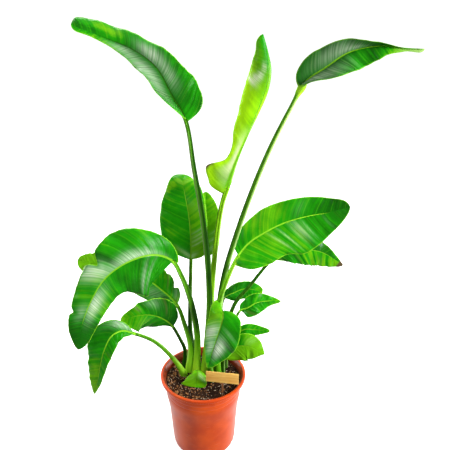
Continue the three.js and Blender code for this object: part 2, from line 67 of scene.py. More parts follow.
# The pot's outline, out from the middle of the underside, up the outside and down inside.
# Each corner is (radius, z, rounding).
COLLAR_LOW = (105.2, 170)
COLLAR_HIGH = (108, 222)
POT_OUTSIDE = [
    (0, 0.8, 0), (3, 0.8, 0.4), (4, 0, 0.4), (28, 0, 1), (30, 5, 1.5), (79, 5, 1.5), (81, 0, 0.8),
    (88, 0, 0.8), (90, 10, 6), (97.6, 128, 16), (*COLLAR_LOW, 16),
]
POT_LIP = [
    (*COLLAR_HIGH, 1), (118, 222, 0.8), (120, 223.4, 1.2), (120, 231, 1.6), (118, 232, 1.6),
    (112.6, 232, 1.4), (111, 230, 1.2), (105.5, 222, 2),
]
POT_INSIDE = [(102, 156, 2), (96.5, 154, 2), (87.9, 15, 4), (81.5, 9, 4), (0, 9, 0)]
COLLAR_LINES = (185, 199, 213)
LINE_DEPTH = 0.7
LINE_HALF = 1.7
LINE_BROW = 0.08
LINE_ROUNDINGS = (0.6, 0.8, 0.6)
POT_SHARP = math.radians(38)
LEAST_POT_FACES = 1000

# The arc in a corner takes at most 1 / EDGE_ROOM of each edge beside it
ARC_POINTS = 4
EDGE_ROOM = 2.2

# The wall's inside is where the normal points at the axis: place times normal, both level, is below this
INSIDE_LIMIT = -0.02

# Holes in the pot's floor, and notches in its foot
DRAINS = 6
DRAIN_CIRCLE = 56
DRAIN_RADIUS = 6
DRILL_LENGTH = 30
DRILL_SIDES = 32
NOTCHES = 8
NOTCH_HALF_ANGLE = math.asin(6 / 89)
NOTCH_SLOPE = 0.002
NOTCH_HEIGHT = 4
FOOT_INNER = 78

# The potting mix: its side wall as (radius, z), and its lumps as (size, height, layer of the noise)
SOIL_LEVEL = 212
SOIL_SIDE = [(81, 9.4), (87.4, 15.4), (96.1, 154.3), (101.6, 156.6), (104.4, 207)]
SOIL_LUMPS = [(34, 3.2, 0.3), (11, 1.8, 4.1), (3.6, 1.0, 9.7)]
SOIL_RINGS = 64
SOIL_SECTORS = 200
GRAIN_SINK = 0.15
GRAIN_MARGIN = 3
GRAIN_WIDTHS = (0.45, 0.9)
GRAIN_LUMPS = 0.22
GRAIN_TILT = 0.5
BARK_COLOURS = ((0.42, 0.19, 0.07), (0.12, 0.05, 0.02))
PERLITE_COLOURS = ((0.8, 0.68, 0.53), (0.48, 0.36, 0.24))

# Where grains thin out towards the right: from which x, over which length, and down to which share
THIN_FROM = -60
THIN_OVER = 120
THIN_LEAST = 0.15

# The tag, in metres
PLATE_HALF = Vector((0.045, 0.0015, 0.017))
PLATE_BEVEL = 0.0006
STICK_HALF = (0.0025, 0.00125)
STICK_BEVEL = 0.0005
TAG_SHARP = math.radians(40)

# The studio, in metres. Each softbox has a name, the setting of its power, a size, a place and the height
# that it aims at.
SOFTBOXES = [
    ("key", "key_power", 0.7, (2.0, -1.0, 1.6), 0.5),
    ("fill", "fill_power", 0.5, (-1.5, -1.5, 1.5), 0.5),
    ("back", "back_power", 0.7, (-0.4, 1.2, 2.3), 0.7),
    ("left rim", "rim_power", 0.9, (-1.9, 0.8, 0.7), 0.3),
    ("right rim", "rim_power", 0.9, (1.9, 0.8, 0.7), 0.3),
]
SUN_PLACE = (0, 0, 3)
SUN_AIM = (0.3, -0.4, 0)
SUN_SOFTNESS = math.radians(60)
FLOOR_REACH = 40
FLOOR_MOTTLE = (0.85, 0.86, 0.88, 1)

# Each leaf, with its form as in the source of the solids. Lists run from the foot to the neck or from the
# neck to the tip.
#
# colour: which greens. foot: where it leaves the mix. girth: the radius of the stalk. stalk, rib: points
# on the way to the tip, the rib's first one being the neck. face: where the upper side looks. wave:
# height and count of the waves of the margin. sweep: how far the margin runs ahead of the rib. pleat: how
# strong the folds along the veins are. stalk_tone: 0 for a dark stalk, 1 for a light one, 1.5 for a
# yellow one. lit: how much painted light falls on the stalk from the right, which makes the right side
# lighter, with a painted highlight, and the left side darker; below 0 it falls from the left. collar: 1
# for a yellow swelling under the blade. ridge: 0 for a dark midrib painted in groove shade, 1 for a light
# one. dry: the share of the blade's length from which the tip is brown.
#
# left, right: the halves of the blade, seen along the rib with the upper side up. half: how wide it is.
# fold, curl: how steeply it stands and how much it rolls. lobe: how far it hangs back beside the neck.
# ruffle, ragged: how uneven the margin is. tone: 0 for the deep green, 1 for the fresh one; in places it
# also holds painted shade and painted light. edge_tone: added to it at the margin. brown: how much of a
# brown blush there is. pale: how bleached it is.
# pale_span: between which shares of the width that fades. nicks: (place, depth, length) in the margin.
# creases: (place, depth, length) along a vein. burns: (place, length, start) of brown patches at the
# margin. marks: (place, length, middle, breadth, tone_and_light, gloss_and_highlight), where the green is
# made lighter or darker, partly as painted light and as painted shade in creases, and the gloss is raised
# with a painted highlight. Places and lengths are measured along the rib; start, middle and breadth are
# shares of the width.
LEAVES = [
    dict(
        name="leaf_top_left", colour="deep", foot=[4, 24], girth=[10.5, 8.6, 7.2, 6.6, 5.2], wave=(2, 5),
        stalk_tone=[1.5, 0.6, 0.1, 0, 0.05, 0.15], lit=-0.2, ridge=0.05,
        stalk=[[20, 5, 470], [10, -5, 685], [-12, -5, 850]],
        rib=[[-30, 0, 970], [-60, 15, 1020], [-95, 35, 1080], [-150, 60, 1116], [-220, 72, 1142],
            [-284, 52, 1172]],
        face=[[0.5, -0.55, 0.65], [0.55, -0.7, 0.45], [0.1, -0.7, 0.7], [0.05, -0.75, 0.7],
            [0.7, -0.65, 0.3]],
        left=dict(
            half=[18, 46, 50, 38, 22, 12, 12], fold=[28, 20, 12, 15, 10], curl=[0, 0], ruffle=0.6,
            ragged=0.006, tone=[0.2, 0.05, 0.15, 0.4, 0.3], edge_tone=0.3,
            marks=[(120, 75, 0.65, 0.33, 0, 0.42), (220, 30, 0.5, 0.35, 0, 0.3),
                (150, 85, 0.12, 0.2, -0.5, 0)],
        ),
        right=dict(
            half=[50, 69, 53, 38, 39, 40, 30], fold=[38, 36, 32, 15, -5], curl=[-20, -30, -40, -40],
            lobe=0.12, ragged=0.008, tone=[0.2, 0.05, 0.1, 0.2, 0.35, 0.35, 0.3], edge_tone=0.2,
            marks=[(158, 30, 0.4, 0.3, 0, 0.6), (100, 34, 0.3, 0.22, -0.1, 0.25),
                (262, 30, 0.55, 0.3, 0.45, 0), (300, 30, 0.2, 0.2, -0.4, 0), (338, 9, 0.5, 0.5, -0.5, 0)],
        ),
    ),
    dict(
        name="leaf_young", colour="young", foot=[20, 42], girth=[10.5, 8.6, 7.6, 7, 6.5], wave=(2, 3),
        pleat=0.5, stalk_tone=[1.7, 1.3, 0.7, 0.5, 0.45], ridge=0.4,
        stalk=[[25, 30, 455], [40, 30, 640], [55, 35, 740]],
        rib=[[69, 40, 785], [89, 40, 847], [115, 42, 913], [138, 45, 971], [156, 45, 1026], [163, 45, 1073],
            [158, 48, 1113], [148, 52, 1152]],
        face=[[-0.1, -1, 0.05], [-0.15, -1, 0.05], [-0.05, -1, 0.15]],
        left=dict(
            half=[38, 53, 66, 29, 25, 37, 42, 48, 49, 45, 38, 26, 20, 10], fold=[10, 15, 40, 50, 45],
            curl=[-20, -40, -95, -110, -90], lobe=0.36, ruffle=1.5, ragged=0.015,
            tone=[0.3, 0.4, 0.6, 0.65, 0.55, 0.55, 0.5, 0.4, 0.15, -0.1, -0.2], edge_tone=0.6,
            pale=[0.1, 0.8, 2.5, 1, 0.1, 0, 0, 0, 0, 0, 0], pale_span=(0, 0.75), burns=[(38, 8, 0.86)],
            marks=[(305, 12, 0.3, 0.1, 0, 0.5), (280, 9, 0.45, 0.13, 0, 0.8), (264, 9, 0.62, 0.16, 0, 1),
                (248, 7, 0.78, 0.22, 0, 1)],
        ),
        right=dict(
            half=[14, 18, 24, 33, 34, 33, 29, 17, 8], fold=[-50, -70, -42, -60], curl=[-30, -80, -90],
            tone=[0.45, 0.6, 0.7, 0.5, -0.1], pale=[0.3, 0.7, 0.3, 0, 0, 0, 0],
        ),
    ),
    dict(
        name="leaf_top_right", colour="deep", foot=[34, 20], girth=[10.5, 8.5, 7.2, 6.3, 4.8],
        wave=(1.8, 5), stalk_tone=[1.4, 0.5, 0.3, 0.45, 0.6], lit=0.45, collar=1, ridge=0.8,
        stalk=[[53, -2, 510], [97, -42, 715], [158, -62, 905], [204, -65, 1010]],
        rib=[[235, -65, 1070], [275, -65, 1100], [325, -70, 1135], [390, -85, 1150], [430, -90, 1145],
            [470, -100, 1145]],
        face=[[-0.4, -0.6, 0.7], [-0.4, -0.9, 0.15], [-0.25, -0.9, -0.3], [-0.15, -0.9, -0.35],
            [-0.25, -0.95, 0.15]],
        left=dict(
            half=[27, 42, 39, 33, 19, 5, 3], fold=[38, 30, 38, 55, 60], curl=[0, -20, 0], lobe=0.45,
            tone=[-0.2, -0.2, 0.1, 0.2, 0.1, 0.4, 0.9],
            marks=[(75, 50, 0.5, 0.4, 0, 0.28), (115, 25, 0.3, 0.2, 0, 0.4)],
        ),
        right=dict(
            half=[24, 36, 43, 39, 22, 7, 11], fold=[42, 32, 38, 55, 60], curl=[0, -10, 0], lobe=0.3,
            ruffle=1.6, tone=[-0.1, -0.1, 0.1, 0.2, 0.35, 0.9, 1.3], edge_tone=0.25,
            pale=[0, 0, 0, 0, 0, 0, 0, 0.2, 0.4], pale_span=(0.8, 1.4), creases=[(60, 3, 8)],
            marks=[(30, 45, 0.45, 0.4, 0, 0.28), (12, 16, 0.45, 0.35, 0.1, 0.25),
                (52, 3, 0.5, 0.4, -0.3, 0), (68, 4, 0.6, 0.3, 0.3, 0.1), (82, 3, 0.5, 0.4, -0.3, 0),
                (98, 4, 0.5, 0.4, 0.2, 0.1)],
        ),
    ),
    dict(
        name="leaf_upright_left", colour="deep", foot=[-14, 48], girth=[7, 6.2, 5], wave=(1.5, 4),
        pleat=0.6, stalk_tone=[0.1, 0, 0.3, 0.4], ridge=0.7,
        stalk=[[-35, 55, 320], [-35, 60, 435]],
        rib=[[-30, 70, 565], [-30, 80, 630], [-35, 90, 690], [-44, 108, 735], [-50, 130, 764],
            [-44, 152, 773]],
        face=[[-0.3, -0.95, 0.15], [-0.25, -0.95, 0.2], [0.1, -0.35, 0.95]],
        left=dict(
            half=[62, 81, 83, 71, 46, 24], fold=[10, 10], curl=[-15, -15, -30], lobe=0.08,
            tone=[0.45, 0.45, 0.4, 0.4, 0.5, 0.5], edge_tone=0.1,
            marks=[(4, 7, 0.2, 0.25, 0.2, 0.35), (172, 14, 0.86, 0.1, 0.55, 0),
                (192, 9, 0.62, 0.16, 0.6, 0), (207, 6, 0.2, 0.3, 0.7, 0.05)],
        ),
        right=dict(
            half=[38, 46, 50, 50, 42, 28], fold=[10, 10], curl=[-15, -15, -30], lobe=0.1,
            tone=[0.8, 0.85, 0.8, 0.65, 0.55, 0.6],
            marks=[(5, 7, 0.2, 0.25, 0.2, 0.35), (32, 3, 0.45, 0.4, 0, 0.3), (43, 3, 0.45, 0.4, 0, 0.3),
                (54, 3, 0.5, 0.4, 0, 0.25), (66, 3, 0.5, 0.4, 0, 0.2), (176, 14, 0.84, 0.12, 0.6, 0),
                (205, 6, 0.35, 0.4, 0.7, 0.05)],
        ),
    ),
    dict(
        name="leaf_upright_back", colour="mid", foot=[0, 58], girth=[6, 5, 4], wave=(1.5, 4),
        stalk_tone=[0.5, 0.3, 0.3], ridge=0.4,
        stalk=[[15, 90, 350], [20, 110, 435]],
        rib=[[18, 128, 540], [15, 135, 585], [12, 150, 650], [9, 165, 718]],
        face=[[0.05, -1, 0.15], [0.05, -0.9, 0.4]],
        left=dict(half=[28, 47, 50, 36, 14], fold=[15, 15], curl=[0, 0], tone=[0.9, 0.9]),
        right=dict(
            half=[24, 33, 38, 30, 14], fold=[15, 15], curl=[0, -20], tone=[0.9, 0.9, 0.8, 0.8],
            edge_tone=0.2,
            marks=[(18, 8, 0.6, 0.5, 0, 0.5), (40, 6, 0.6, 0.5, 0, 0.45), (58, 5, 0.6, 0.5, 0, 0.25)],
        ),
    ),
    dict(
        name="leaf_right", colour="mid", foot=[42, -4], girth=[10, 8, 7, 5.2], wave=(1.8, 5), pleat=1.1,
        stalk_tone=[0.2, 0.5, 0.6, 1.1], lit=0.2, ridge=1,
        stalk=[[40, -25, 445], [65, -38, 555]],
        rib=[[97, -18, 620], [125, -4, 650], [165, 4, 675], [205, 10, 695], [245, 10, 710], [285, 10, 720],
            [325, 5, 730], [370, -5, 750]],
        face=[[-0.35, -0.85, 0.4], [-0.15, -0.9, 0.4], [-0.45, -0.85, 0.25]],
        left=dict(
            half=[28, 43, 55, 53, 47, 35, 20], fold=[12, 12, 8], curl=[-20, -20, 0],
            tone=[0.35, 0.6, 0.6, 0.5, 0.2, -0.1], creases=[(225, 2, 9)],
            marks=[(175, 14, 0.5, 0.4, -0.1, 0.04)],
        ),
        right=dict(
            half=[52, 75, 75, 90, 73, 40, 16], fold=[8, 5, 5], curl=[-15, -15, 0], lobe=0.3, ruffle=2.2,
            tone=[0.5, 0.55, 0.6, 0.5, 0.35, 0.1], creases=[(150, 3, 14), (215, 2.5, 12)],
            marks=[(148, 4, 0.4, 0.3, 0.2, 0.2), (164, 8, 0.35, 0.3, 0.3, 0.35),
                (183, 3, 0.4, 0.3, 0.2, 0.25), (92, 3, 0.5, 0.35, 0.4, 0.3), (118, 3, 0.45, 0.3, 0.4, 0.3),
                (240, 3, 0.5, 0.4, 0.3, 0.1)],
        ),
    ),
    dict(
        name="leaf_right_back", colour="deep", foot=[42, 42], girth=[6.5, 6, 5.4, 4.2], wave=(3, 5),
        pleat=1.6, stalk_tone=[0.2, 0.12, 0.05], lit=0.1, ridge=0.6, dry=0.92,
        stalk=[[88, 75, 410], [129, 90, 460]],
        rib=[[195, 115, 535], [235, 120, 555], [285, 125, 560], [330, 130, 550], [365, 130, 530],
            [395, 125, 510]],
        face=[[-0.15, -0.9, 0.45], [0.2, -0.9, 0.45], [0.05, -0.95, 0.35]],
        left=dict(
            half=[14, 36, 36, 19, 6], fold=[5, 0, 0], curl=[0, 0], tone=[-0.2, -0.1, 0.1], edge_tone=0.3,
        ),
        right=dict(
            half=[16, 38, 47, 38, 17], fold=[0, -10, -10], curl=[-20, -20], ruffle=3.5, ragged=0.045,
            tone=[0, 0.4, 0.65, 0.75, 0.75], edge_tone=0.1, brown=0.3,
            marks=[(55, 4, 0.5, 0.5, -0.5, 0), (75, 4, 0.5, 0.5, -0.6, 0), (95, 4, 0.5, 0.5, -0.6, 0),
                (118, 4, 0.5, 0.5, -0.6, 0), (142, 4, 0.5, 0.5, -0.5, 0), (165, 4, 0.5, 0.5, -0.4, 0)],
        ),
    ),
    dict(
        name="leaf_arching_left", colour="fresh", foot=[-20, 22], girth=[10.5, 9, 7.5, 5.6], wave=(2.5, 5),
        sweep=0, pleat=1.6, stalk_tone=[1.6, 0.9, 0.1, 0.3, 0.45], lit=-0.2, ridge=0.8, dry=0.985,
        stalk=[[-15, 15, 350], [-30, -5, 480], [-50, -25, 565]],
        rib=[[-70, -45, 620], [-110, -70, 650], [-165, -100, 650], [-220, -125, 620], [-255, -140, 570],
            [-285, -150, 500], [-300, -155, 430]],
        face=[[0.65, -0.75, 0.2], [0.4, -0.75, 0.5], [0.05, -0.95, 0.3], [0.05, -1, 0.1], [0.15, -1, 0.05]],
        left=dict(
            half=[84, 103, 100, 60, 46, 36, 20], fold=[-10, -10, -8, 0], curl=[-10, -25, -20, -30],
            ruffle=3, ragged=0.008, tone=[0.2, 0.3, 0.3, 0.3, 0.4, 0.5, 0.5, -0.1, -0.3],
            creases=[(92, 6, 14), (152, 3, 14), (205, 4, 14)],
            marks=[(72, 6, 0.55, 0.35, 0.15, 0.4), (48, 5, 0.5, 0.35, 0.15, 0.3),
                (105, 12, 0.85, 0.25, -0.6, 0), (262, 38, 0.25, 0.28, 0.2, 0.85)],
        ),
        right=dict(
            half=[20, 55, 80, 56, 42, 32, 14], fold=[12, 8, 5, 0], curl=[-20, -25, -20], lobe=0.3, ruffle=2,
            ragged=0.012, tone=[0.2, 0.45, 0.45, 0.4, 0.5, 0.7, 0.5, -0.1, -0.3],
            nicks=[(184, 0.42, 8), (303, 0.22, 6)], creases=[(150, 8, 14), (95, 4, 14), (235, 4, 14)],
            marks=[(105, 60, 0.1, 0.16, 0, 0.6), (148, 9, 0.75, 0.42, -1, 0),
                (183, 20, 0.55, 0.42, 0.3, 0.75), (290, 20, 0.3, 0.3, 0.1, 0.3)],
        ),
    ),
    dict(
        name="leaf_low_front_left", colour="mid", foot=[-56, 12], girth=[9, 6.5, 5.6, 4.6], wave=(2, 5),
        pleat=1.3, stalk_tone=[1, 0.9, 0.4, 0.35], ridge=0.9,
        stalk=[[-90, -20, 310], [-130, -50, 380]],
        rib=[[-175, -80, 425], [-200, -90, 440], [-225, -105, 435], [-245, -115, 400], [-260, -115, 350],
            [-270, -115, 305], [-285, -110, 250]],
        face=[[0.6, -0.6, 0.55], [-0.35, -0.95, 0.1], [-0.35, -0.95, 0]],
        left=dict(
            half=[15, 26, 24, 15, 5], fold=[10, 20, 20], curl=[-10, -20], tone=[0.4, 0.5, 0.5, 1.1],
            creases=[(110, 4, 10)],
        ),
        right=dict(
            half=[15, 46, 40, 28, 12], fold=[15, 20, 15], curl=[-20, -35], ruffle=2.2,
            tone=[0.45, 0.2, 0.4, 0.9, 1.1], creases=[(60, 5, 10), (130, 4, 10)], burns=[(88, 10, 0.93)],
            marks=[(22, 14, 0.5, 0.35, 0.1, 0.45)],
        ),
    ),
    dict(
        name="leaf_low_left", colour="mid", foot=[-56, 40], girth=[7, 5.5, 4.5], wave=(2, 4), pleat=1.5,
        stalk_tone=[0, -0.1, 0], ridge=0.6,
        stalk=[[-52, 34, 285], [-66, 20, 340]],
        rib=[[-82, 8, 385], [-95, 2, 405], [-120, -8, 428], [-145, -18, 440], [-175, -27, 442],
            [-215, -30, 432]],
        face=[[0.3, -0.9, 0.1], [0.2, -0.95, 0.1], [-0.05, -0.9, 0.4]],
        left=dict(
            half=[14, 43, 62, 45, 16], fold=[0, 0], curl=[-30, -40, 0], ruffle=3, tone=[0, 0.2, 0.5, 0.7],
            brown=0.2, creases=[(60, 5, 9)], marks=[(75, 20, 0.5, 0.4, 0.3, 0.05)],
        ),
        right=dict(
            half=[30, 54, 46, 24, 10], fold=[10, 10, 0], curl=[-20, -30, 0], ruffle=3, ragged=0.03,
            tone=[-0.1, 0.1, 0.5, 0.7], brown=0.35, creases=[(50, 4, 9), (95, 4, 9)],
            marks=[(65, 16, 0.75, 0.25, 0, 0.2), (20, 12, 0.4, 0.3, -0.3, 0)],
        ),
    ),
    dict(
        name="leaf_back_left", colour="mid", foot=[-40, 30], girth=[10.5, 9, 7, 5.2], wave=(2, 5),
        pleat=1.8, stalk_tone=[1.6, 1, 0.45, 0.5], lit=-0.3, ridge=0.8,
        stalk=[[-35, 22, 310], [-50, 25, 380]],
        rib=[[-70, 32, 440], [-110, 48, 475], [-155, 68, 500], [-215, 88, 512], [-285, 108, 520],
            [-350, 118, 530]],
        face=[[0.15, -0.85, 0.5], [-0.2, -0.8, 0.55], [-0.05, -0.85, 0.55]],
        left=dict(
            half=[27, 49, 46, 36, 25], fold=[10, 10], curl=[-20, -10, 0], ruffle=3,
            tone=[0.3, 0.45, 0.6, 1.3], brown=0.35,
            marks=[(60, 30, 0.5, 0.4, 0, 0.2), (25, 9, 0.4, 0.4, -0.3, 0)],
        ),
        right=dict(
            half=[33, 49, 46, 36, 22], fold=[15, 15, 10], curl=[-20, -10, 0], ruffle=4, ragged=0.06,
            tone=[0.6, 0.6, 0.6, 1.3], brown=0.35, nicks=[(33, 0.3, 5)], creases=[(28, 6, 9)],
            marks=[(12, 8, 0.6, 0.4, 0, 0.25)],
        ),
    ),
    dict(
        name="leaf_front", colour="fresh", foot=[24, -12], girth=[7, 5, 4.5], wave=(1.5, 4),
        stalk_tone=[0.1, 0.4, 0.5], ridge=0.4,
        stalk=[[20, -32, 330], [38, -44, 420], [50, -47, 464], [54, -52, 474]],
        rib=[[57, -60, 474], [56, -70, 463], [50, -76, 440], [38, -82, 400], [26, -86, 360],
            [16, -86, 318]],
        face=[[0, -0.4, 0.9], [-0.15, -0.95, 0.25], [-0.15, -1, 0.05]],
        left=dict(
            half=[44, 56, 54, 34, 14], fold=[5, 10, 10], curl=[-10, -20, -10], lobe=0.15,
            tone=[0.3, 0.2, 0.15, 0.4], edge_tone=0.15, creases=[(70, 3, 10)],
            marks=[(94, 26, 0.28, 0.25, 0.1, 1), (62, 5, 0.45, 0.35, 0.1, 0.25),
                (34, 5, 0.5, 0.3, 0.1, 0.2)],
        ),
        right=dict(
            half=[34, 38, 30, 17, 7], fold=[5, 5, 10], curl=[-20, -30, 0], lobe=1.1,
            tone=[0.7, 0.5, 0.4, 0.6], edge_tone=0.2,
            marks=[(50, 18, 0.6, 0.5, 0.15, 1), (95, 20, 0.4, 0.4, 0.1, 0.6)],
        ),
    ),
    dict(
        name="leaf_small_back_right", colour="fresh", foot=[32, 60], girth=[6, 4.5, 3.5], wave=(1.5, 4),
        pleat=1.2, stalk_tone=[0, 0.1, 0.2], ridge=0.6,
        stalk=[[45, 70, 295], [50, 90, 355]],
        rib=[[60, 110, 410], [90, 125, 420], [115, 135, 425], [145, 140, 420], [170, 140, 405]],
        face=[[0.2, -0.75, 0.6], [0.2, -0.8, 0.55], [0.25, -0.9, 0.4]],
        left=dict(
            half=[14, 23, 23, 20, 14], fold=[10, 10, 0], curl=[0, 0], ragged=0.03, tone=[-0.1, 0, 0.3, 0.9],
        ),
        right=dict(
            half=[14, 25, 30, 26, 14], fold=[-10, -10, 0], curl=[-20, -20], ruffle=2,
            tone=[0, 0.1, 0.2, 0.6],
        ),
    ),
    dict(
        name="leaf_small_right", colour="mid", foot=[56, 30], girth=[6, 4.5, 3.5], wave=(2, 4), pleat=1.3,
        stalk_tone=[0, 0.1, 0.2], ridge=0.8, dry=0.98,
        stalk=[[62, 32, 305], [85, 45, 365]],
        rib=[[105, 55, 405], [125, 60, 410], [150, 70, 420], [185, 80, 420], [220, 85, 415]],
        face=[[0.05, -0.8, 0.6], [0.2, -0.85, 0.5]],
        left=dict(
            half=[20, 28, 25, 14, 6], fold=[5, 5], curl=[-15, -10], ruffle=2, tone=[0.15, 0.4, 0.8],
            brown=0.15, marks=[(50, 8, 0.5, 0.4, 0.4, 0)],
        ),
        right=dict(
            half=[20, 31, 28, 14, 6], fold=[0, -5], curl=[-15, -30], ruffle=2, tone=[-0.05, 0.15, 0.55],
            edge_tone=0.3, brown=0.2, marks=[(38, 5, 0.5, 0.4, 0.4, 0)],
        ),
    ),
    dict(
        name="leaf_small_low_right", colour="deep", foot=[64, 46], girth=[5, 4, 3.5], wave=(1.5, 3),
        stalk_tone=[0, 0.1, 0.2], ridge=0.5,
        stalk=[[68, 46, 270], [76, 50, 305]],
        rib=[[95, 50, 330], [120, 50, 345], [145, 55, 340], [190, 55, 335]],
        face=[[-0.3, -0.85, 0.45], [0.05, -0.8, 0.55]],
        left=dict(half=[8, 14, 16, 11, 6], fold=[10, 10], curl=[0, 0], tone=[0.3, 0.6], brown=0.2),
        right=dict(
            half=[8, 19, 19, 12, 6], fold=[-5, -5], curl=[-10, -20], tone=[0.15, 0.35, 0.55], brown=0.2,
        ),
    ),
    dict(
        name="leaf_small_front_right", colour="fresh", foot=[56, 10], girth=[6, 4.5, 3.5], wave=(2, 4),
        pleat=1.4, stalk_tone=[0, 0.1, 0.2], ridge=0.6,
        stalk=[[57, 0, 270], [60, -6, 305]],
        rib=[[72, -10, 320], [100, -15, 335], [125, -20, 340], [170, -30, 320]],
        face=[[-0.35, -0.8, 0.45], [0.05, -0.85, 0.55]],
        left=dict(
            half=[16, 28, 33, 24, 8], fold=[5, 5], curl=[-10, -20], ruffle=2, tone=[0.1, 0.4, 0.9, 1.2],
            edge_tone=0.2, brown=0.15, marks=[(55, 8, 0.5, 0.4, 0.4, 0.1), (30, 6, 0.5, 0.4, -0.3, 0)],
        ),
        right=dict(
            half=[30, 44, 44, 32, 9], fold=[-5, -5], curl=[-20, -30], lobe=0.7, ruffle=2.5,
            tone=[0.6, 0.8, 1.1, 1.4], edge_tone=0.5, brown=0.1, creases=[(60, 4, 9)],
            marks=[(45, 6, 0.5, 0.4, -0.4, 0)],
        ),
    ),
    dict(
        name="leaf_shoot_front", colour="mid", foot=[-6, -4], girth=[7, 6, 5], wave=(0.5, 3),
        stalk_tone=[0.9, 0.8, 0.7], ridge=0.4,
        stalk=[[-13, -12, 240]],
        rib=[[-15, -18, 253], [-15, -28, 252], [-17, -39, 240], [-20, -47, 219]],
        face=[[0.05, 0.05, 1], [-0.05, -1, 0.2]],
        left=dict(
            half=[18, 26, 30, 30, 25], fold=[-10, -10], curl=[-10, -10], tone=[0.95, 0.75],
            marks=[(12, 6, 0.5, 0.4, 0, 0.4)],
        ),
        right=dict(
            half=[13, 22, 30, 36, 40], fold=[-10, -10], curl=[-10, -10], tone=[0.7, 0.85], edge_tone=0.3,
        ),
    ),
]

# What a leaf or a side has when its table says nothing
LEAF_DEFAULTS = dict(sweep=0.12, pleat=1, lit=0.25, collar=0, dry=1.2)
SIDE_DEFAULTS = dict(
    lobe=0, ruffle=1.2, ragged=0.005, edge_tone=0, brown=0.03, pale=[0, 0], pale_span=(0.5, 1.2),
    nicks=(), creases=(), burns=(), marks=(),
)

# What all leaves share, in millimetres where it is a length. A START or END is the span over which a thing
# comes or goes, as shares of the length of the stalk or the blade or of the width of a side.
WELL_FLOOR = 186.3
SOIL_EXIT = 215
TANGENT_STEP = 0.5

# The stalk: where its upper side looks at the foot, how flat that side is, how much thicker the foot is, and
# the channel on the upper side with its light edges
STALK_FACE = (0, -1, 0)
STALK_FLATNESS = 0.8
LEAST_STALK_ROWS = 6
SHEATH = 0.35
SHEATH_REACH = 55
CHANNEL = 0.45
CHANNEL_WIDTH = 0.38
CHANNEL_START = (0.15, 0.9)
CHANNEL_EDGE_LIGHT = 0.12
CHANNEL_EDGE_PLACE = 0.55
CHANNEL_EDGE_WIDTH = 0.16
CHANNEL_EDGE_START = (0.1, 0.5)

# The yellow swelling under a blade
SWELLING = 0.9
SWELLING_YELLOW = 1.6
SWELLING_START = (0.955, 0.985)
SWELLING_END = (0.988, 1)
YELLOW_START = (0.955, 0.99)

# The painted highlight on the lit side of a stalk: from which light on, how fast and how much at most
HIGHLIGHT_FROM = 0.1
HIGHLIGHT_GAIN = 1.7
HIGHLIGHT_MOST = 0.6
HIGHLIGHT_START = (0.1, 0.4)
HIGHLIGHT_END = (0.94, 0.97)

# The midrib: how it tapers, how much of a narrow blade it may take, its keel below and its groove above, and
# over how many of its own radii the stalk turns into it
RIB_TAPER = 0.8
RIB_SHARE_LIMIT = 0.3
KEEL = 1.2
GROOVE = 0.22
MELT_REACH = 3
RIB_FADE = 1.2
RIB_END = (0.7, 1)

# The blade
LEAST_BLADE_ROWS = 24
MARGIN_THINNING = 0.22
LOBE_REACH = 0.12
SWEEP_POWER = 1.5
WAVE_PHASE = {"left": 0.55, "right": 0.13}
VEIN_SLANT = 0.42
VEIN_BEND = 0.12
VEIN_OFFSET = 400
RAGGED_START = (0.02, 0.1)
CREASE_START = (0.05, 0.5)
PLEAT_START = (0, 0.4)
PLEAT_FADE = 0.5
TIP_FADE = 0.03
BURN_FADE = 0.12
BLUSH_START = (0.1, 0.5)
BLUSH_LEVELS = (0.25, 0.9)
PALE_START = (0.3, 0.5)
PALE_OFF_RIB = (0.7, 1.5)
YOUNG_BANDING = 0.35

# Lengths of the waves in the margin, in the pleats and the ruffle across the veins, and in the brown blush
RAGGED_WAVES = (13, 23, 37)
PLEAT_WAVES = (9, 13, 22)
RUFFLE_WAVES = (29, 47)
BLUSH_WAVES = (17, 41, 67)

# Columns of vertices. The first ones of each side lie on the rib and just beside it, in shares of its width.
HALF_COLUMNS = 12
COLUMNS = np.arange(-HALF_COLUMNS, HALF_COLUMNS + 1)
RING_HALF = 2 * HALF_COLUMNS + 1
RIB_COLUMNS = np.array([0, 0.4, 0.8, 1.15])
FIRST_FREE_COLUMN = 1.8
COLUMN_SPACING_POWER = 0.9


# Shared helpers


def say(operator, text):
    operator.report({"INFO"}, text)
    return {"FINISHED"}


def link(name, data):
    """A new object in the scene."""
    thing = bpy.data.objects.new(name, data)
    bpy.context.scene.collection.objects.link(thing)
    return thing


def add_numbers(mesh, key, numbers):
    mesh.attributes.new(key, "FLOAT", "POINT").data.foreach_set("value", np.asarray(numbers, np.float32))


def new_object(name, vertices, faces, material, values=None, smooth=True):
    """A mesh object in metres; values are named numbers, one for each vertex."""
    mesh = bpy.data.meshes.new(name)
    mesh.from_pydata(np.asarray(vertices, float).tolist(), [], [list(map(int, face)) for face in faces])
    mesh.validate()
    for key, numbers in (values or {}).items():
        add_numbers(mesh, key, numbers)
    mesh.materials.append(material)
    if smooth:
        mesh.shade_smooth()
    else:
        mesh.shade_flat()
    return link(name, mesh)


def settle(piece, slot, *nodes):
    """The piece rides on the plant's one body and stands for CAD nodes, which it hides; its slot is not used.
    """
    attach(piece, "root")
    if nodes:
        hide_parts(*nodes)


def apply_modifiers(piece):
    graph = bpy.context.evaluated_depsgraph_get()
    finished = bpy.data.meshes.new_from_object(piece.evaluated_get(graph))
    piece.modifiers.clear()
    piece.data = finished


def smoothstep(low, high, value):
    """0 below low, 1 above high."""
    part = np.clip((value - low) / (high - low), 0, 1)
    return part * part * (3 - 2 * part)


def bell(value, middle, width):
    """1 in the middle, fading over the width on both sides."""
    return np.exp(-(((value - middle) / width) ** 2))


def unit(vectors):
    return vectors / np.linalg.norm(vectors, axis=-1, keepdims=True)


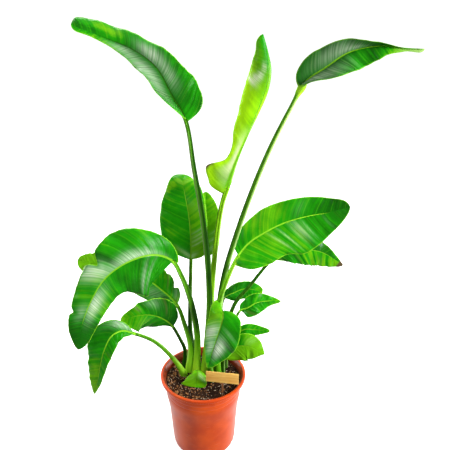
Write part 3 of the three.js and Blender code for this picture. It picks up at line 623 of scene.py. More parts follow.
def spline(keys, t):
    """A smooth curve through evenly spaced keys, read at t from 0 to 1."""
    keys = np.asarray(keys, float)
    last = len(keys) - 1
    place = np.clip(t, 0, 1) * last
    index = np.minimum(place.astype(int), last)
    part = (place - index).reshape(-1, *[1] * (keys.ndim - 1))
    before, start, end, after = (keys[np.clip(index + step, 0, last)] for step in (-1, 0, 1, 2))
    slope = 0.5 * (end - before)
    square = before - 2.5 * start + 2 * end - 0.5 * after
    cube = 1.5 * (start - end) + 0.5 * (after - before)
    return start + slope * part + square * part**2 + cube * part**3


def band_noise(place, lengths, rng):
    """A sum of waves of these lengths, with their phases drawn by rng."""
    total = np.zeros_like(place)
    for length in lengths:
        total += np.sin(2 * np.pi * place / length + rng.uniform(0, 2 * np.pi))
    return total / len(lengths)


# Shader nodes


class Wiring:
    """Adds nodes to a tree. An input is a value or another node's output."""

    def __init__(self, tree):
        self.tree = tree
        self.tree.nodes.clear()

    def add(self, kind, inputs=None, **settings):
        node = self.tree.nodes.new(kind)
        for key, value in settings.items():
            setattr(node, key, value)
        for key, value in (inputs or {}).items():
            if isinstance(value, bpy.types.NodeSocket):
                self.tree.links.new(value, node.inputs[key])
            else:
                node.inputs[key].default_value = value
        return node

    def math(self, operation, *values, clamp=False):
        inputs = dict(enumerate(values))
        return self.add("ShaderNodeMath", inputs, operation=operation, use_clamp=clamp).outputs[0]

    def times(self, first, second, clamp=False):
        return self.math("MULTIPLY", first, second, clamp=clamp)

    def plus(self, first, second, clamp=False):
        return self.math("ADD", first, second, clamp=clamp)

    def step(self, value, low, high):
        """0 below low and 1 above high, or the other way round."""
        inputs = {0: value, 1: low, 2: high, 3: 0.0, 4: 1.0}
        return self.add("ShaderNodeMapRange", inputs, interpolation_type="SMOOTHSTEP").outputs[0]

    def mix(self, factor, first, second):
        inputs = {0: factor, 6: first, 7: second}
        return self.add("ShaderNodeMix", inputs, data_type="RGBA").outputs[2]

    def value(self, name):
        return self.add("ShaderNodeAttribute", attribute_name=name).outputs["Fac"]

    def place(self):
        return self.add("ShaderNodeTexCoord").outputs["Object"]

    def noise(self, vector, scale, detail=3.0):
        inputs = {"Vector": vector, "Scale": scale, "Detail": detail}
        return self.add("ShaderNodeTexNoise", inputs).outputs["Fac"]

    def noise_along(self, number, detail):
        inputs = {"W": number, "Scale": 1.0, "Detail": detail}
        return self.add("ShaderNodeTexNoise", inputs, noise_dimensions="1D").outputs["Fac"]

    def stretch(self, vector, scale):
        return self.add("ShaderNodeVectorMath", {0: vector, 1: scale}, operation="MULTIPLY").outputs[0]

    def group(self, group, inputs):
        return self.add("ShaderNodeGroup", inputs, node_tree=group).outputs

    def bump(self, height, strength, distance):
        inputs = {"Strength": strength, "Distance": distance, "Height": height}
        return self.add("ShaderNodeBump", inputs).outputs["Normal"]

    def surface(self, inputs):
        shader = self.add("ShaderNodeBsdfPrincipled", inputs)
        self.add("ShaderNodeOutputMaterial", {"Surface": shader.outputs[0]})


SOCKETS = {"colour": "NodeSocketColor", "number": "NodeSocketFloat", "vector": "NodeSocketVector"}
GREY = (0.5, 0.5, 0.5, 1)
SHADOW_GREEN = (0.0, 0.02, 0.0, 1)
UNDERSIDE_GREEN = (0.35, 0.45, 0.25, 1)
SCUFF = (0.75, 0.4, 0.28, 1)

# Spacing of a leaf's bands, side veins and hair-fine veins, in metres
BAND_SPACING = 0.011
VEIN_SPACING = 0.0042
HAIR_SPACING = 0.0013


def new_group(name, inputs, outputs):
    """An empty shader node group with named sockets; each input has a kind and a default."""
    group = bpy.data.node_groups.new(name, "ShaderNodeTree")
    for key, (kind, default) in inputs.items():
        socket = group.interface.new_socket(name=key, in_out="INPUT", socket_type=SOCKETS[kind])
        if default is not None:
            socket.default_value = default
    for key, kind in outputs.items():
        group.interface.new_socket(name=key, in_out="OUTPUT", socket_type=SOCKETS[kind])
    net = Wiring(group)
    return group, net, net.add("NodeGroupInput").outputs


def new_material(name):
    material = bpy.data.materials.new(name)
    material.use_nodes = True
    return material, Wiring(material.node_tree)


def blotch_group():
    """Soft uneven colour and a fine grain, for the pot, the mix and the wood."""
    found = bpy.data.node_groups.get("Blotches and grain")
    if found:
        return found
    inputs = {
        "Place": ("vector", None),
        "Blotch size": ("number", 0.03),
        "Grain size": ("number", 0.001),
        "Light": ("colour", GREY),
        "Dark": ("colour", GREY),
    }
    group, net, given = new_group("Blotches and grain", inputs, {"Colour": "colour", "Grain": "number"})
    wide = net.noise(given["Place"], net.math("DIVIDE", 1.0, given["Blotch size"]), 4.0)
    grain = net.noise(given["Place"], net.math("DIVIDE", 1.0, given["Grain size"]), 2.0)
    colour = net.mix(net.step(wide, 0.3, 0.7), given["Dark"], given["Light"])
    net.add("NodeGroupOutput", {"Colour": colour, "Grain": grain})
    return group


def uneven(net, place, light, dark, blotch_size, grain_size):
    """The uneven colour between light and dark, and its grain."""
    sizes = {"Blotch size": blotch_size, "Grain size": grain_size}
    found = net.group(blotch_group(), {"Place": place, "Light": light, "Dark": dark, **sizes})
    return found["Colour"], found["Grain"]


def leaf_group():
    """The colour, roughness, shine and relief of a leaf, read from the numbers that its mesh carries."""
    found = bpy.data.node_groups.get("Leaf surface")
    if found:
        return found
    colours = ("Deep", "Mid", "Fresh", "Rib", "Stalk", "Sheath", "Pale", "Wax", "Dry")
    inputs = {**{key: ("colour", GREY) for key in colours}, "Banding": ("number", 1.0)}
    outputs = {"Colour": "colour", "Roughness": "number", "Shine": "number", "Height": "number"}
    group, net, given = new_group("Leaf surface", inputs, outputs)
    deep, mid, fresh, rib_green = given["Deep"], given["Mid"], given["Fresh"], given["Rib"]
    vein, rib, edge, along = (net.value(key) for key in ("vein", "rib", "edge", "along"))
    tone, dry, under = (net.value(key) for key in ("tone", "dry", "under"))
    ridge, pale, shine = (net.value(key) for key in ("ridge", "pale", "shine"))
    place = net.place()

    # Bands across the blade, single side veins, and the hair-fine veins between those
    bands = net.step(net.noise_along(net.times(vein, 1 / BAND_SPACING), 3.0), 0.3, 0.7)
    streaks = net.noise_along(net.times(vein, 1 / VEIN_SPACING), 1.0)
    off_rib = net.step(rib, 1.0, 2.2)
    veins = net.times(net.step(streaks, 0.62, 0.8), off_rib)
    furrow_shade = net.times(net.times(net.step(streaks, 0.38, 0.2), off_rib), given["Banding"])
    hair = net.math("SINE", net.times(vein, 2 * math.pi / HAIR_SPACING))

    # The blade's green, from deep to fresh
    patch = net.noise(place, 16.0)
    shift = net.plus(net.times(bands, 0.22), net.times(net.step(patch, 0.3, 0.7), 0.3))
    shift = net.times(net.math("SUBTRACT", shift, 0.26), given["Banding"])
    freshness = net.plus(tone, shift, clamp=True)
    blade = net.mix(net.step(freshness, 0.0, 0.55), deep, mid)
    blade = net.mix(net.step(freshness, 0.45, 1.0), blade, fresh)
    blade = net.mix(net.times(veins, 0.1), blade, rib_green)
    # Painted shade in the furrows beside the side veins
    blade = net.mix(net.times(furrow_shade, 0.22), blade, net.mix(0.6, blade, SHADOW_GREEN))
    blade = net.mix(net.times(under, 0.3), blade, net.mix(0.3, fresh, UNDERSIDE_GREEN))
    # The painted sheen, a pale colour that stands for gloss highlights, in streaks between the veins
    sheen_streaks = net.math("MULTIPLY_ADD", net.step(streaks, 0.35, 0.65), 0.5, 0.5)
    blade = net.mix(net.times(shine, sheen_streaks), blade, given["Wax"])
    # The light margin and the midrib
    blade = net.mix(net.times(net.step(edge, 0.0026, 0.0006), 0.75), blade, rib_green)
    # A dark midrib is painted groove shade; a light one has the rib's own pale green
    rib_colour = net.mix(ridge, net.mix(0.6, deep, SHADOW_GREEN), rib_green)
    blade = net.mix(net.step(rib, 0.62, 0.28), blade, rib_colour)

    # The stalk, from dark to yellow-green
    fibres = net.noise(net.stretch(place, (160.0, 160.0, 7.0)), 1.0)
    light = net.plus(tone, net.times(net.math("SUBTRACT", fibres, 0.5), 0.5), clamp=True)
    green = net.mix(0.25, net.mix(0.5, mid, fresh), rib_green)
    stalk = net.mix(net.step(light, 0.0, 0.75), given["Stalk"], green)
    stalk = net.mix(net.step(light, 0.6, 1.1), stalk, rib_green)
    stalk = net.mix(net.step(tone, 1.0, 1.5), stalk, given["Sheath"])
    stalk = net.mix(net.times(net.step(along, -0.035, -0.008), ridge), stalk, rib_green)
    colour = net.mix(net.step(along, -0.004, 0.004), stalk, blade)
    colour = net.mix(pale, colour, given["Pale"])

    # Brown tips, and brown specks near the margin
    specks = net.times(net.step(net.noise(place, 260.0, 1.0), 0.71, 0.76), net.step(edge, 0.012, 0.002))
    brown = net.math("MAXIMUM", net.plus(dry, net.times(dry, patch), clamp=True), specks)
    colour = net.mix(brown, colour, given["Dry"])

    height = net.plus(net.times(hair, 0.04), net.times(streaks, 1.6))
    height = net.plus(height, net.times(bands, 0.8))
    height = net.plus(height, net.times(net.noise(place, 900.0, 2.0), 0.12))
    rough = net.plus(0.2, net.times(net.step(patch, 0.35, 0.7), 0.14))
    rough = net.plus(rough, net.times(net.math("MAXIMUM", under, brown), 0.22))
    net.add("NodeGroupOutput", {"Colour": colour, "Roughness": rough, "Shine": shine, "Height": height})
    return group


def leaf_material(kind, palette):
    name = f"{kind} leaf"
    found = bpy.data.materials.get(name)
    if found:
        return found
    material, net = new_material(name)
    leaf = net.group(leaf_group(), palette)
    # Less gloss where the blade is seen nearly edge-on, so that it does not glare
    facing = net.add("ShaderNodeLayerWeight", {"Blend": 0.5}).outputs["Facing"]
    coat = net.times(leaf["Shine"], net.step(facing, 0.9, 0.55))
    net.surface({
        "Base Color": leaf["Colour"],
        "Roughness": leaf["Roughness"],
        "Specular IOR Level": 0.05,
        "Coat Weight": net.times(coat, 0.7),
        "Coat Roughness": 0.24,
        "Normal": net.bump(leaf["Height"], strength=0.35, distance=0.0005),
    })
    return material


def plastic_material(settings):
    material, net = new_material("Orange-red plastic")
    place = net.place()
    light, dark = (*settings.colour, 1), (*settings.shade_colour, 1)
    plastic, grain = uneven(net, place, light, dark, blotch_size=0.045, grain_size=0.0009)
    scuffs = net.noise(net.stretch(place, (30.0, 30.0, 260.0)), 1.0, 4.0)
    worn = net.times(net.step(scuffs, 0.62, 0.74), 0.12)
    plastic = net.mix(worn, plastic, SCUFF)
    # Painted shade darkens the inside of the wall
    inside_shade = net.times(net.value("inside"), 0.85)
    facing = net.add("ShaderNodeLayerWeight", {"Blend": 0.5}).outputs["Facing"]
    net.surface({
        "Base Color": net.mix(inside_shade, plastic, (*settings.inside_shade_colour, 1)),
        "Roughness": net.plus(net.plus(0.3, net.times(grain, 0.08)), worn),
        "Specular IOR Level": 0.15,
        "Coat Weight": net.times(net.math("POWER", facing, 2.5), 2.0, clamp=True),
        "Coat Roughness": 0.3,
        "Normal": net.bump(net.plus(grain, net.times(scuffs, 0.7)), strength=0.12, distance=0.0003),
    })
    return material


def grit_material(name, light, dark, roughness, tint_share=0.75):
    """Mix, crumbs, bark or perlite: each grain carries its own tint."""
    material, net = new_material(name)
    light, dark = (*light, 1), (*dark, 1)
    blotched, grain = uneven(net, net.place(), light, dark, blotch_size=0.004, grain_size=0.0006)
    tinted = net.mix(net.value("tint"), dark, light)
    net.surface({
        "Base Color": net.mix(tint_share, blotched, tinted),
        "Roughness": roughness,
        "Specular IOR Level": 0.1,
        "Normal": net.bump(grain, strength=0.6, distance=0.0006),
    })
    return material


def wood_material(name, light, dark, line_scale):
    material, net = new_material(name)
    place = net.place()
    light, dark = (*light, 1), (*dark, 1)
    # Growth rings run along the plate and the stick, so the noise is drawn out sideways
    rings = net.noise(net.stretch(place, (9.0, 60.0, 260.0)), line_scale)
    lines = net.step(rings, 0.35, 0.65)
    pores = net.noise(net.stretch(place, (120.0, 400.0, 2600.0)), 1.0, 2.0)
    blotched, _ = uneven(net, place, light, dark, blotch_size=0.02, grain_size=0.0007)
    colour = net.mix(0.3, net.mix(lines, dark, light), blotched)
    net.surface({
        "Base Color": net.mix(net.times(net.step(pores, 0.6, 0.75), 0.35), colour, dark),
        "Roughness": net.plus(0.5, net.times(lines, 0.12)),
        "Specular IOR Level": 0.35,
        "Normal": net.bump(net.plus(lines, pores), strength=0.25, distance=0.0003),
    })
    return material


# The leaves


class LeafForm:
    """The form of one leaf: its path from the soil to the tip, and how wide its blade is."""

    SAMPLES = 100

    def __init__(self, leaf):
        self.leaf = {**LEAF_DEFAULTS, **leaf}
        x, y = leaf["foot"]
        stalk = [[x, y, WELL_FLOOR], [x, y, SOIL_EXIT], *leaf["stalk"]]
        self.points = self.fine_path(np.array(stalk + leaf["rib"], float))
        steps = np.linalg.norm(np.diff(self.points, axis=0), axis=1)
        self.lengths = np.concatenate([[0], np.cumsum(steps)])
        self.neck_length = self.lengths[self.SAMPLES * len(stalk)]
        self.exit_length = self.lengths[self.SAMPLES]
        self.total = self.lengths[-1]
        self.rib_length = self.total - self.neck_length
        self.neck_radius = leaf["girth"][-1]

    def fine_path(self, points):
        """Centripetal Catmull-Rom through the points."""
        first, last = 2 * points[0] - points[1], 2 * points[-1] - points[-2]
        points = np.vstack([first, points, last])
        part = np.linspace(0, 1, self.SAMPLES, endpoint=False)[:, None]
        rows = []
        for before, start, end, after in zip(points, points[1:], points[2:], points[3:]):
            steps = (start - before, end - start, after - end)
            gap_in, gap, gap_out = (np.linalg.norm(step) ** 0.5 for step in steps)
            middle = (end - start) / gap
            leave = ((start - before) / gap_in - (end - before) / (gap_in + gap) + middle) * gap
            arrive = (middle - (after - start) / (gap + gap_out) + (after - end) / gap_out) * gap
            square = 3 * (end - start) - 2 * leave - arrive
            cube = 2 * (start - end) + leave + arrive
            rows.append(start + leave * part + square * part**2 + cube * part**3)
        return np.vstack([*rows, points[-2:-1]])

    def frame_at(self, length, face):
        """Where the path is at these lengths, its way on, its upper side, and across to the right."""

        def centre(at):
            return np.stack([np.interp(at, self.lengths, self.points[:, axis]) for axis in range(3)], 1)

        behind, ahead = np.maximum(length - TANGENT_STEP, 0), np.minimum(length + TANGENT_STEP, self.total)
        tangent = unit(centre(ahead) - centre(behind))
        normal = unit(face - (face * tangent).sum(1, keepdims=True) * tangent)
        return centre(length), tangent, normal, np.cross(tangent, normal)

    def half_width(self, side, t, rng):
        """How wide a side of the blade is, with its nicks and its ragged margin."""
        along = t * self.rib_length
        half = spline([0, *side["half"], 0], np.arccos(1 - 2 * t) / np.pi)
        half = np.maximum(half, self.neck_radius * (1 - t))
        for place, depth, length in side["nicks"]:
            half = half * (1 - depth * bell(along, place, length))
        ragged = side["ragged"] * band_noise(along, RAGGED_WAVES, rng)
        return half * (1 + ragged * smoothstep(*RAGGED_START, t))


def stalk_rows(form, pitch):
    """Rings of the stalk, t from 0 in its well to 1 at the neck, with the numbers for its material."""
    leaf = form.leaf
    count = max(round((form.neck_length - form.exit_length) / pitch), LEAST_STALK_ROWS)
    length = np.concatenate([[0], np.linspace(form.exit_length, form.neck_length, count + 1)])
    t = length / form.neck_length
    level = t[:, None]
    face = np.array(STALK_FACE) * (1 - level**2) + np.array(leaf["face"][0]) * level**2
    centre, _, normal, across = form.frame_at(length, face)
    radius = spline(leaf["girth"], t) * (1 + SHEATH * bell(length, 0, SHEATH_REACH))
    swelling = smoothstep(*SWELLING_START, t) - smoothstep(*SWELLING_END, t)
    radius = (radius * (1 + SWELLING * leaf["collar"] * swelling))[:, None, None]
    out = np.sin(np.pi * COLUMNS / RING_HALF)
    up = np.cos(np.pi * COLUMNS / RING_HALF)
    top = STALK_FLATNESS * up - CHANNEL * smoothstep(*CHANNEL_START, level) * bell(out, 0, CHANNEL_WIDTH)
    side = centre[:, None] + radius * across[:, None] * out[:, None]
    upper = side + radius * normal[:, None] * top[..., None]
    lower = side - radius * normal[:, None] * up[:, None]
    # The light edges of the channel, painted light on one side, and the yellow swelling
    edges = CHANNEL_EDGE_LIGHT * bell(np.abs(out), CHANNEL_EDGE_PLACE, CHANNEL_EDGE_WIDTH)
    edges = edges * smoothstep(*CHANNEL_EDGE_START, level)
    lit = leaf["lit"] * out
    yellow = SWELLING_YELLOW * leaf["collar"] * smoothstep(*YELLOW_START, level)
    tone = spline(leaf["stalk_tone"], t)[:, None] + lit + yellow + edges
    # A painted highlight, in the pale colour, on the side in painted light
    highlight_span = smoothstep(*HIGHLIGHT_START, level) - smoothstep(*HIGHLIGHT_END, level)
    pale = np.clip((lit - HIGHLIGHT_FROM) * HIGHLIGHT_GAIN, 0, HIGHLIGHT_MOST) * highlight_span
    # rib and edge are large here, so the colours of the midrib and the margin stay off the stalk
    numbers = {"vein": 0, "rib": 3, "edge": 0.03, "tone": tone, "pale": pale, "shine": 0, "dry": 0}
    return upper, lower, t - 1, {key: np.broadcast_to(rows, tone.shape) for key, rows in numbers.items()}


def blade_rows(form, pitch, thickness, pleat, rng):
    """Rings of the blade, t from 0 at the neck to 1 at the tip, with the numbers for its material."""
    leaf = form.leaf
    count = max(round(form.rib_length / pitch), LEAST_BLADE_ROWS)
    t = (1 - np.cos(np.pi * np.arange(1, count) / count)) / 2
    along = t * form.rib_length
    rows = form.frame_at(form.neck_length + along, spline(leaf["face"], t))
    centre, tangent, normal, across = (row[:, None] for row in rows)
    melt = smoothstep(0, MELT_REACH * form.neck_radius, along)[:, None]
    rib_radius = form.neck_radius * (1 - RIB_TAPER * t)[:, None]
    wave_height, wave_count = leaf["wave"]
    sides = []
    column = np.arange(HALF_COLUMNS + 1)
    beside = len(RIB_COLUMNS)
    outer = np.clip((column - beside) / (HALF_COLUMNS - beside), 0, 1) ** COLUMN_SPACING_POWER
    round_up = np.cos(np.pi * column / RING_HALF)
    for name, sign in (("left", -1), ("right", 1)):
        side = {**SIDE_DEFAULTS, **leaf[name]}
        widest = max(side["half"])
        half = form.half_width(side, t, rng)[:, None]
        rib_share = np.minimum(rib_radius / half, RIB_SHARE_LIMIT)
        near = FIRST_FREE_COLUMN * rib_share
        blade_share = near + (1 - near) * outer
        blade_share[:, :beside] = RIB_COLUMNS * rib_share
        share = np.sin(np.pi * column / RING_HALF) * (1 - melt) + blade_share * melt
        reach = half * share

        # How the side stands and rolls, and how far its margin runs ahead or hangs back
        fold = np.radians(spline(side["fold"], t))[:, None]
        curl = np.radians(spline(side["curl"], t))[:, None] * share
        lean = fold + curl / 2
        forward = leaf["sweep"] * half * share**SWEEP_POWER
        forward = forward - side["lobe"] * widest * share * bell(t, 0, LOBE_REACH)[:, None]

        # Side veins leave the rib at a slant and bend on towards the tip
        vein = along[:, None] - reach * (VEIN_SLANT + VEIN_BEND * share)
        tone = spline(side["tone"], t)[:, None] + side["edge_tone"] * share
        shine = np.zeros_like(vein)
        # A mark makes the green lighter or darker, partly as painted light and shade, and adds gloss with a
        # painted highlight
        for place, length, middle, breadth, tone_and_light, gloss_and_highlight in side["marks"]:
            mark = bell(vein, place, length) * bell(share, middle, breadth)
            tone = tone + tone_and_light * mark
            shine = shine + gloss_and_highlight * mark

        # Creases, pleats, the ruffled margin and its long waves
        relief = np.zeros_like(vein)
        for place, depth, length in side["creases"]:
            relief -= depth * bell(vein, place, length) * smoothstep(*CREASE_START, share)
        vein = vein + VEIN_OFFSET * rng.random()
        pleats = leaf["pleat"] * pleat * band_noise(vein, PLEAT_WAVES, rng)
        relief += pleats * smoothstep(*PLEAT_START, share) * (1 - PLEAT_FADE * share**4)
        relief += side["ruffle"] * band_noise(vein, RUFFLE_WAVES, rng) * share**3
        ripple = np.sin(2 * np.pi * (wave_count * t + WAVE_PHASE[name]))[:, None]
        full = np.minimum(1, (2 * half / widest) ** 2)
        height = wave_height * share**2 * ripple * full + relief * full

        bed = (
            centre
            + sign * across * (reach * np.cos(lean))[..., None]
            + normal * (reach * np.sin(lean) + height)[..., None]
            + tangent * forward[..., None]
        )
        tilt = (fold + curl)[..., None]
        facing = normal * np.cos(tilt) - sign * across * np.sin(tilt)
        on_rib = np.clip(share / rib_share, 0, 1)
        body = thickness * (0.5 - MARGIN_THINNING * share)
        groove = GROOVE * rib_radius * np.cos(np.pi / 2 * on_rib) ** 2
        keel = KEEL * rib_radius * np.sqrt(1 - on_rib**2)
        stalk_top = form.neck_radius * (STALK_FLATNESS * round_up - CHANNEL * bell(share, 0, CHANNEL_WIDTH))
        top = stalk_top * (1 - melt) + (body - groove) * melt
        bottom = form.neck_radius * round_up * (1 - melt) + (body + keel) * melt

        # Bleached parts, a brown blush in patches along some veins, and burns
        off_rib = smoothstep(*PALE_OFF_RIB, reach / rib_radius)
        pale = spline(side["pale"], t)[:, None] * (1 - smoothstep(*side["pale_span"], share))
        pale = pale * np.maximum(smoothstep(*PALE_START, t)[:, None], off_rib)
        patches = smoothstep(*BLUSH_LEVELS, band_noise(vein, BLUSH_WAVES, rng))
        dry = side["brown"] * patches * smoothstep(*BLUSH_START, share)
        for place, length, start in side["burns"]:
            dry += bell(along[:, None], place, length) * smoothstep(start, start + BURN_FADE, share)
        sides.append({
            "upper": bed + facing * top[..., None],
            "lower": bed - facing * bottom[..., None],
            "vein": vein * MM,
            "rib": reach / rib_radius + RIB_FADE * smoothstep(*RIB_END, t)[:, None],
            "edge": (half - reach) * MM,
            "tone": tone,
            "pale": np.clip(pale, 0, 1),
            "shine": np.clip(shine, 0, 1),
            "dry": np.clip(dry, 0, 1),
        })

    left, right = sides
    numbers = {key: np.concatenate([left[key][:, :0:-1], right[key]], axis=1) for key in left}
    return numbers.pop("upper"), numbers.pop("lower"), t, numbers


def leaf_mesh(leaf, settings, seed):
    """Vertices, faces and numbers of one closed leaf."""
    form = LeafForm(leaf)
    rng = np.random.default_rng(seed)
    stalk = stalk_rows(form, settings.stalk_pitch / MM)
    blade = blade_rows(form, settings.blade_pitch / MM, settings.thickness / MM, settings.pleat / MM, rng)
    upper, lower, along = (np.concatenate([stalk[part], blade[part]]) for part in range(3))
    rings = np.concatenate([upper, lower[:, ::-1]], axis=1)
    count, size = rings.shape[:2]
    vertices = np.vstack([rings.reshape(-1, 3), form.points[0], form.points[-1]]) * MM

    # The upper and the lower face are split along the same diagonal, so neither pokes through the other
    ring = np.arange(count - 1)[:, None] * size
    column = np.arange(size)
    after = (column + 1) % size
    here, beside, opposite, ahead = ring + column, ring + after, ring + size + after, ring + size + column
    top = np.broadcast_to(column < RING_HALF, here.shape)[..., None]
    first = np.where(top, np.stack([here, beside, opposite], -1), np.stack([here, beside, ahead], -1))
    second = np.where(top, np.stack([here, opposite, ahead], -1), np.stack([beside, opposite, ahead], -1))
    faces = np.concatenate([first, second]).reshape(-1, 3).tolist()
    last = (count - 1) * size
    faces += [[count * size, later, early] for early, later in zip(column, after)]
    faces += [[count * size + 1, last + early, last + later] for early, later in zip(column, after)]

    values = {}
    for key in stalk[3]:
        rows = np.concatenate([stalk[3][key], blade[3][key]])
        rows = np.concatenate([rows, rows[:, ::-1]], axis=1)
        values[key] = np.append(rows, [rows[0, 0], rows[-1, 0]])
    values["along"] = np.append(np.repeat(along, size), [-1, 1])
    dry = form.leaf["dry"]
    values["dry"] = np.maximum(values["dry"], smoothstep(dry, dry + TIP_FADE, values["along"]))
    values["under"] = np.append(np.tile(np.repeat([0, 1], RING_HALF), count), [0, 0])
    values["ridge"] = np.full(len(vertices), leaf["ridge"])
    return vertices, faces, values


# The pot


def rounded(corners):
    """The outline with each corner (radius, z, rounding) turned into a short arc."""
    points = []
    for before, corner, after in zip([None, *corners], corners, [*corners[1:], None]):
        here = np.array(corner[:2], float)
        if before is None or after is None or corner[2] == 0:
            points.append(here)
            continue
        back = np.array(before[:2]) - here
        ahead = np.array(after[:2]) - here
        trim = min(corner[2], np.linalg.norm(back) / EDGE_ROOM, np.linalg.norm(ahead) / EDGE_ROOM)
        start, end = here + trim * unit(back), here + trim * unit(ahead)
        for x in np.linspace(0, 1, ARC_POINTS):
            points.append((1 - x) ** 2 * start + 2 * x * (1 - x) * here + x**2 * end)
    return np.array(points)


def collar_corners():
    """Fine moulded lines round the collar."""
    corners = []
    for z in COLLAR_LINES:
        radius = np.interp(z, (COLLAR_LOW[1], COLLAR_HIGH[1]), (COLLAR_LOW[0], COLLAR_HIGH[0]))
        radii = (radius - LINE_BROW, radius - LINE_DEPTH, radius + LINE_BROW)
        corners += zip(radii, (z - LINE_HALF, z, z + LINE_HALF), LINE_ROUNDINGS)
    return corners


def lathe(outline, angles):
    """A closed shell turned about Z; the first and last points of the outline lie on the axis."""
    ring = outline[1:-1]
    shell = np.stack([
        np.outer(np.cos(angles), ring[:, 0]),
        np.outer(np.sin(angles), ring[:, 0]),
        np.broadcast_to(ring[:, 1], (len(angles), len(ring))),
    ], -1)
    size = len(ring)
    vertices = np.vstack([shell.reshape(-1, 3), [0, 0, outline[0, 1]], [0, 0, outline[-1, 1]]])
    low, high = len(vertices) - 2, len(vertices) - 1
    faces = []
    for i in range(len(angles)):
        here, beside = i * size, (i + 1) % len(angles) * size
        faces += [[here + k, beside + k, beside + k + 1, here + k + 1] for k in range(size - 1)]
        faces += [[low, beside, here], [high, here + size - 1, beside + size - 1]]
    return vertices, faces


def cut_drains(pot):
    """Holes in the pot's floor, in a circle."""
    drills = bmesh.new()
    for turn in np.arange(DRAINS) * 2 * np.pi / DRAINS:
        drill = bmesh.ops.create_cone(
            drills, cap_ends=True, segments=DRILL_SIDES, depth=DRILL_LENGTH * MM,
            radius1=DRAIN_RADIUS * MM, radius2=DRAIN_RADIUS * MM,
        )
        move = Vector((math.cos(turn), math.sin(turn), 0)) * DRAIN_CIRCLE * MM
        bmesh.ops.translate(drills, verts=drill["verts"], vec=move)
    mesh = bpy.data.meshes.new("drain_cutter")
    drills.to_mesh(mesh)
    drills.free()
    cutter = link("drain_cutter", mesh)
    cut = pot.modifiers.new("Drains", "BOOLEAN")
    cut.operation = "DIFFERENCE"
    cut.object = cutter
    cut.solver = "EXACT"
    apply_modifiers(pot)
    bpy.data.objects.remove(cutter)


def build_pot(settings):
    """The moulded pot, turned from its outline, with notches in its foot and holes in its floor."""
    outline = rounded(POT_OUTSIDE + collar_corners() + POT_LIP + POT_INSIDE)
    angles = list(np.linspace(0, 2 * np.pi, settings.sides, endpoint=False))
    notches = (np.arange(NOTCHES) + 0.5) * 2 * np.pi / NOTCHES
    for centre in notches:
        for turn in (-NOTCH_HALF_ANGLE, NOTCH_HALF_ANGLE):
            angles += [centre + turn - NOTCH_SLOPE, centre + turn + NOTCH_SLOPE]
    vertices, faces = lathe(outline, np.array(sorted(angles)))
    angle = np.arctan2(vertices[:, 1], vertices[:, 0])
    radius = np.hypot(vertices[:, 0], vertices[:, 1])
    for centre in notches:
        gap = np.abs((angle - centre + np.pi) % (2 * np.pi) - np.pi)
        inside = (gap < NOTCH_HALF_ANGLE) & (radius > FOOT_INNER) & (vertices[:, 2] < NOTCH_HEIGHT)
        vertices[inside, 2] = NOTCH_HEIGHT
    pot = new_object("nursery_pot", vertices * MM, faces, plastic_material(settings))
    cut_drains(pot)
    pot.data.set_sharp_from_angle(angle=POT_SHARP)
    places, normals = np.empty((2, len(pot.data.vertices) * 3), np.float32)
    pot.data.vertices.foreach_get("co", places)
    pot.data.vertices.foreach_get("normal", normals)
    outward = (places.reshape(-1, 3) * normals.reshape(-1, 3))[:, :2].sum(1)
    add_numbers(pot.data, "inside", outward < INSIDE_LIMIT)
    settle(pot, "pot", "pot")
    return pot


# The potting mix


def soil_height(x, y):
    """The mix's level at a place, with hollows, clods and crumbs."""
    level = SOIL_LEVEL
    for size, height, layer in SOIL_LUMPS:
        level += noise.noise(Vector((x / size, y / size, layer))) * height
    return level


def build_soil(settings):
    """One closed body of mix that fills the pot from its floor up to a lumpy top."""
    rim = SOIL_SIDE[-1][0]
    turns = np.linspace(0, 2 * np.pi, SOIL_SECTORS, endpoint=False)
    circle = [(math.cos(turn), math.sin(turn)) for turn in turns]
    vertices = [(0, 0, soil_height(0, 0))]
    for radius in np.linspace(rim / SOIL_RINGS, rim, SOIL_RINGS):
        vertices += [(radius * x, radius * y, soil_height(radius * x, radius * y)) for x, y in circle]
    for radius, z in reversed(SOIL_SIDE):
        vertices += [(radius * x, radius * y, z) for x, y in circle]
    vertices.append((0, 0, SOIL_SIDE[0][1]))
    last = len(vertices) - 1
    lowest = last - SOIL_SECTORS
    steps = [(i, (i + 1) % SOIL_SECTORS) for i in range(SOIL_SECTORS)]
    faces = [[0, 1 + i, 1 + j] for i, j in steps]
    for ring in range(1, lowest, SOIL_SECTORS):
        below = ring + SOIL_SECTORS
        faces += [[ring + i, below + i, below + j, ring + j] for i, j in steps]
    faces += [[last, lowest + j, lowest + i] for i, j in steps]
    colours = (settings.light_colour, settings.dark_colour)
    material = grit_material("Potting mix", *colours, roughness=0.95, tint_share=0.0)
    values = {"tint": np.zeros(len(vertices))}
    soil = new_object("potting_mix", np.array(vertices) * MM, faces, material, values)
    settle(soil, "soil", "soil")


def turned(points, tilt, turn):
    """The points tipped about Y and then turned about Z."""
    tip = [[math.cos(tilt), 0, math.sin(tilt)], [0, 1, 0], [-math.sin(tilt), 0, math.cos(tilt)]]
    spin = [[math.cos(turn), math.sin(turn), 0], [-math.sin(turn), math.cos(turn), 0], [0, 0, 1]]
    return points @ np.array(tip) @ np.array(spin)


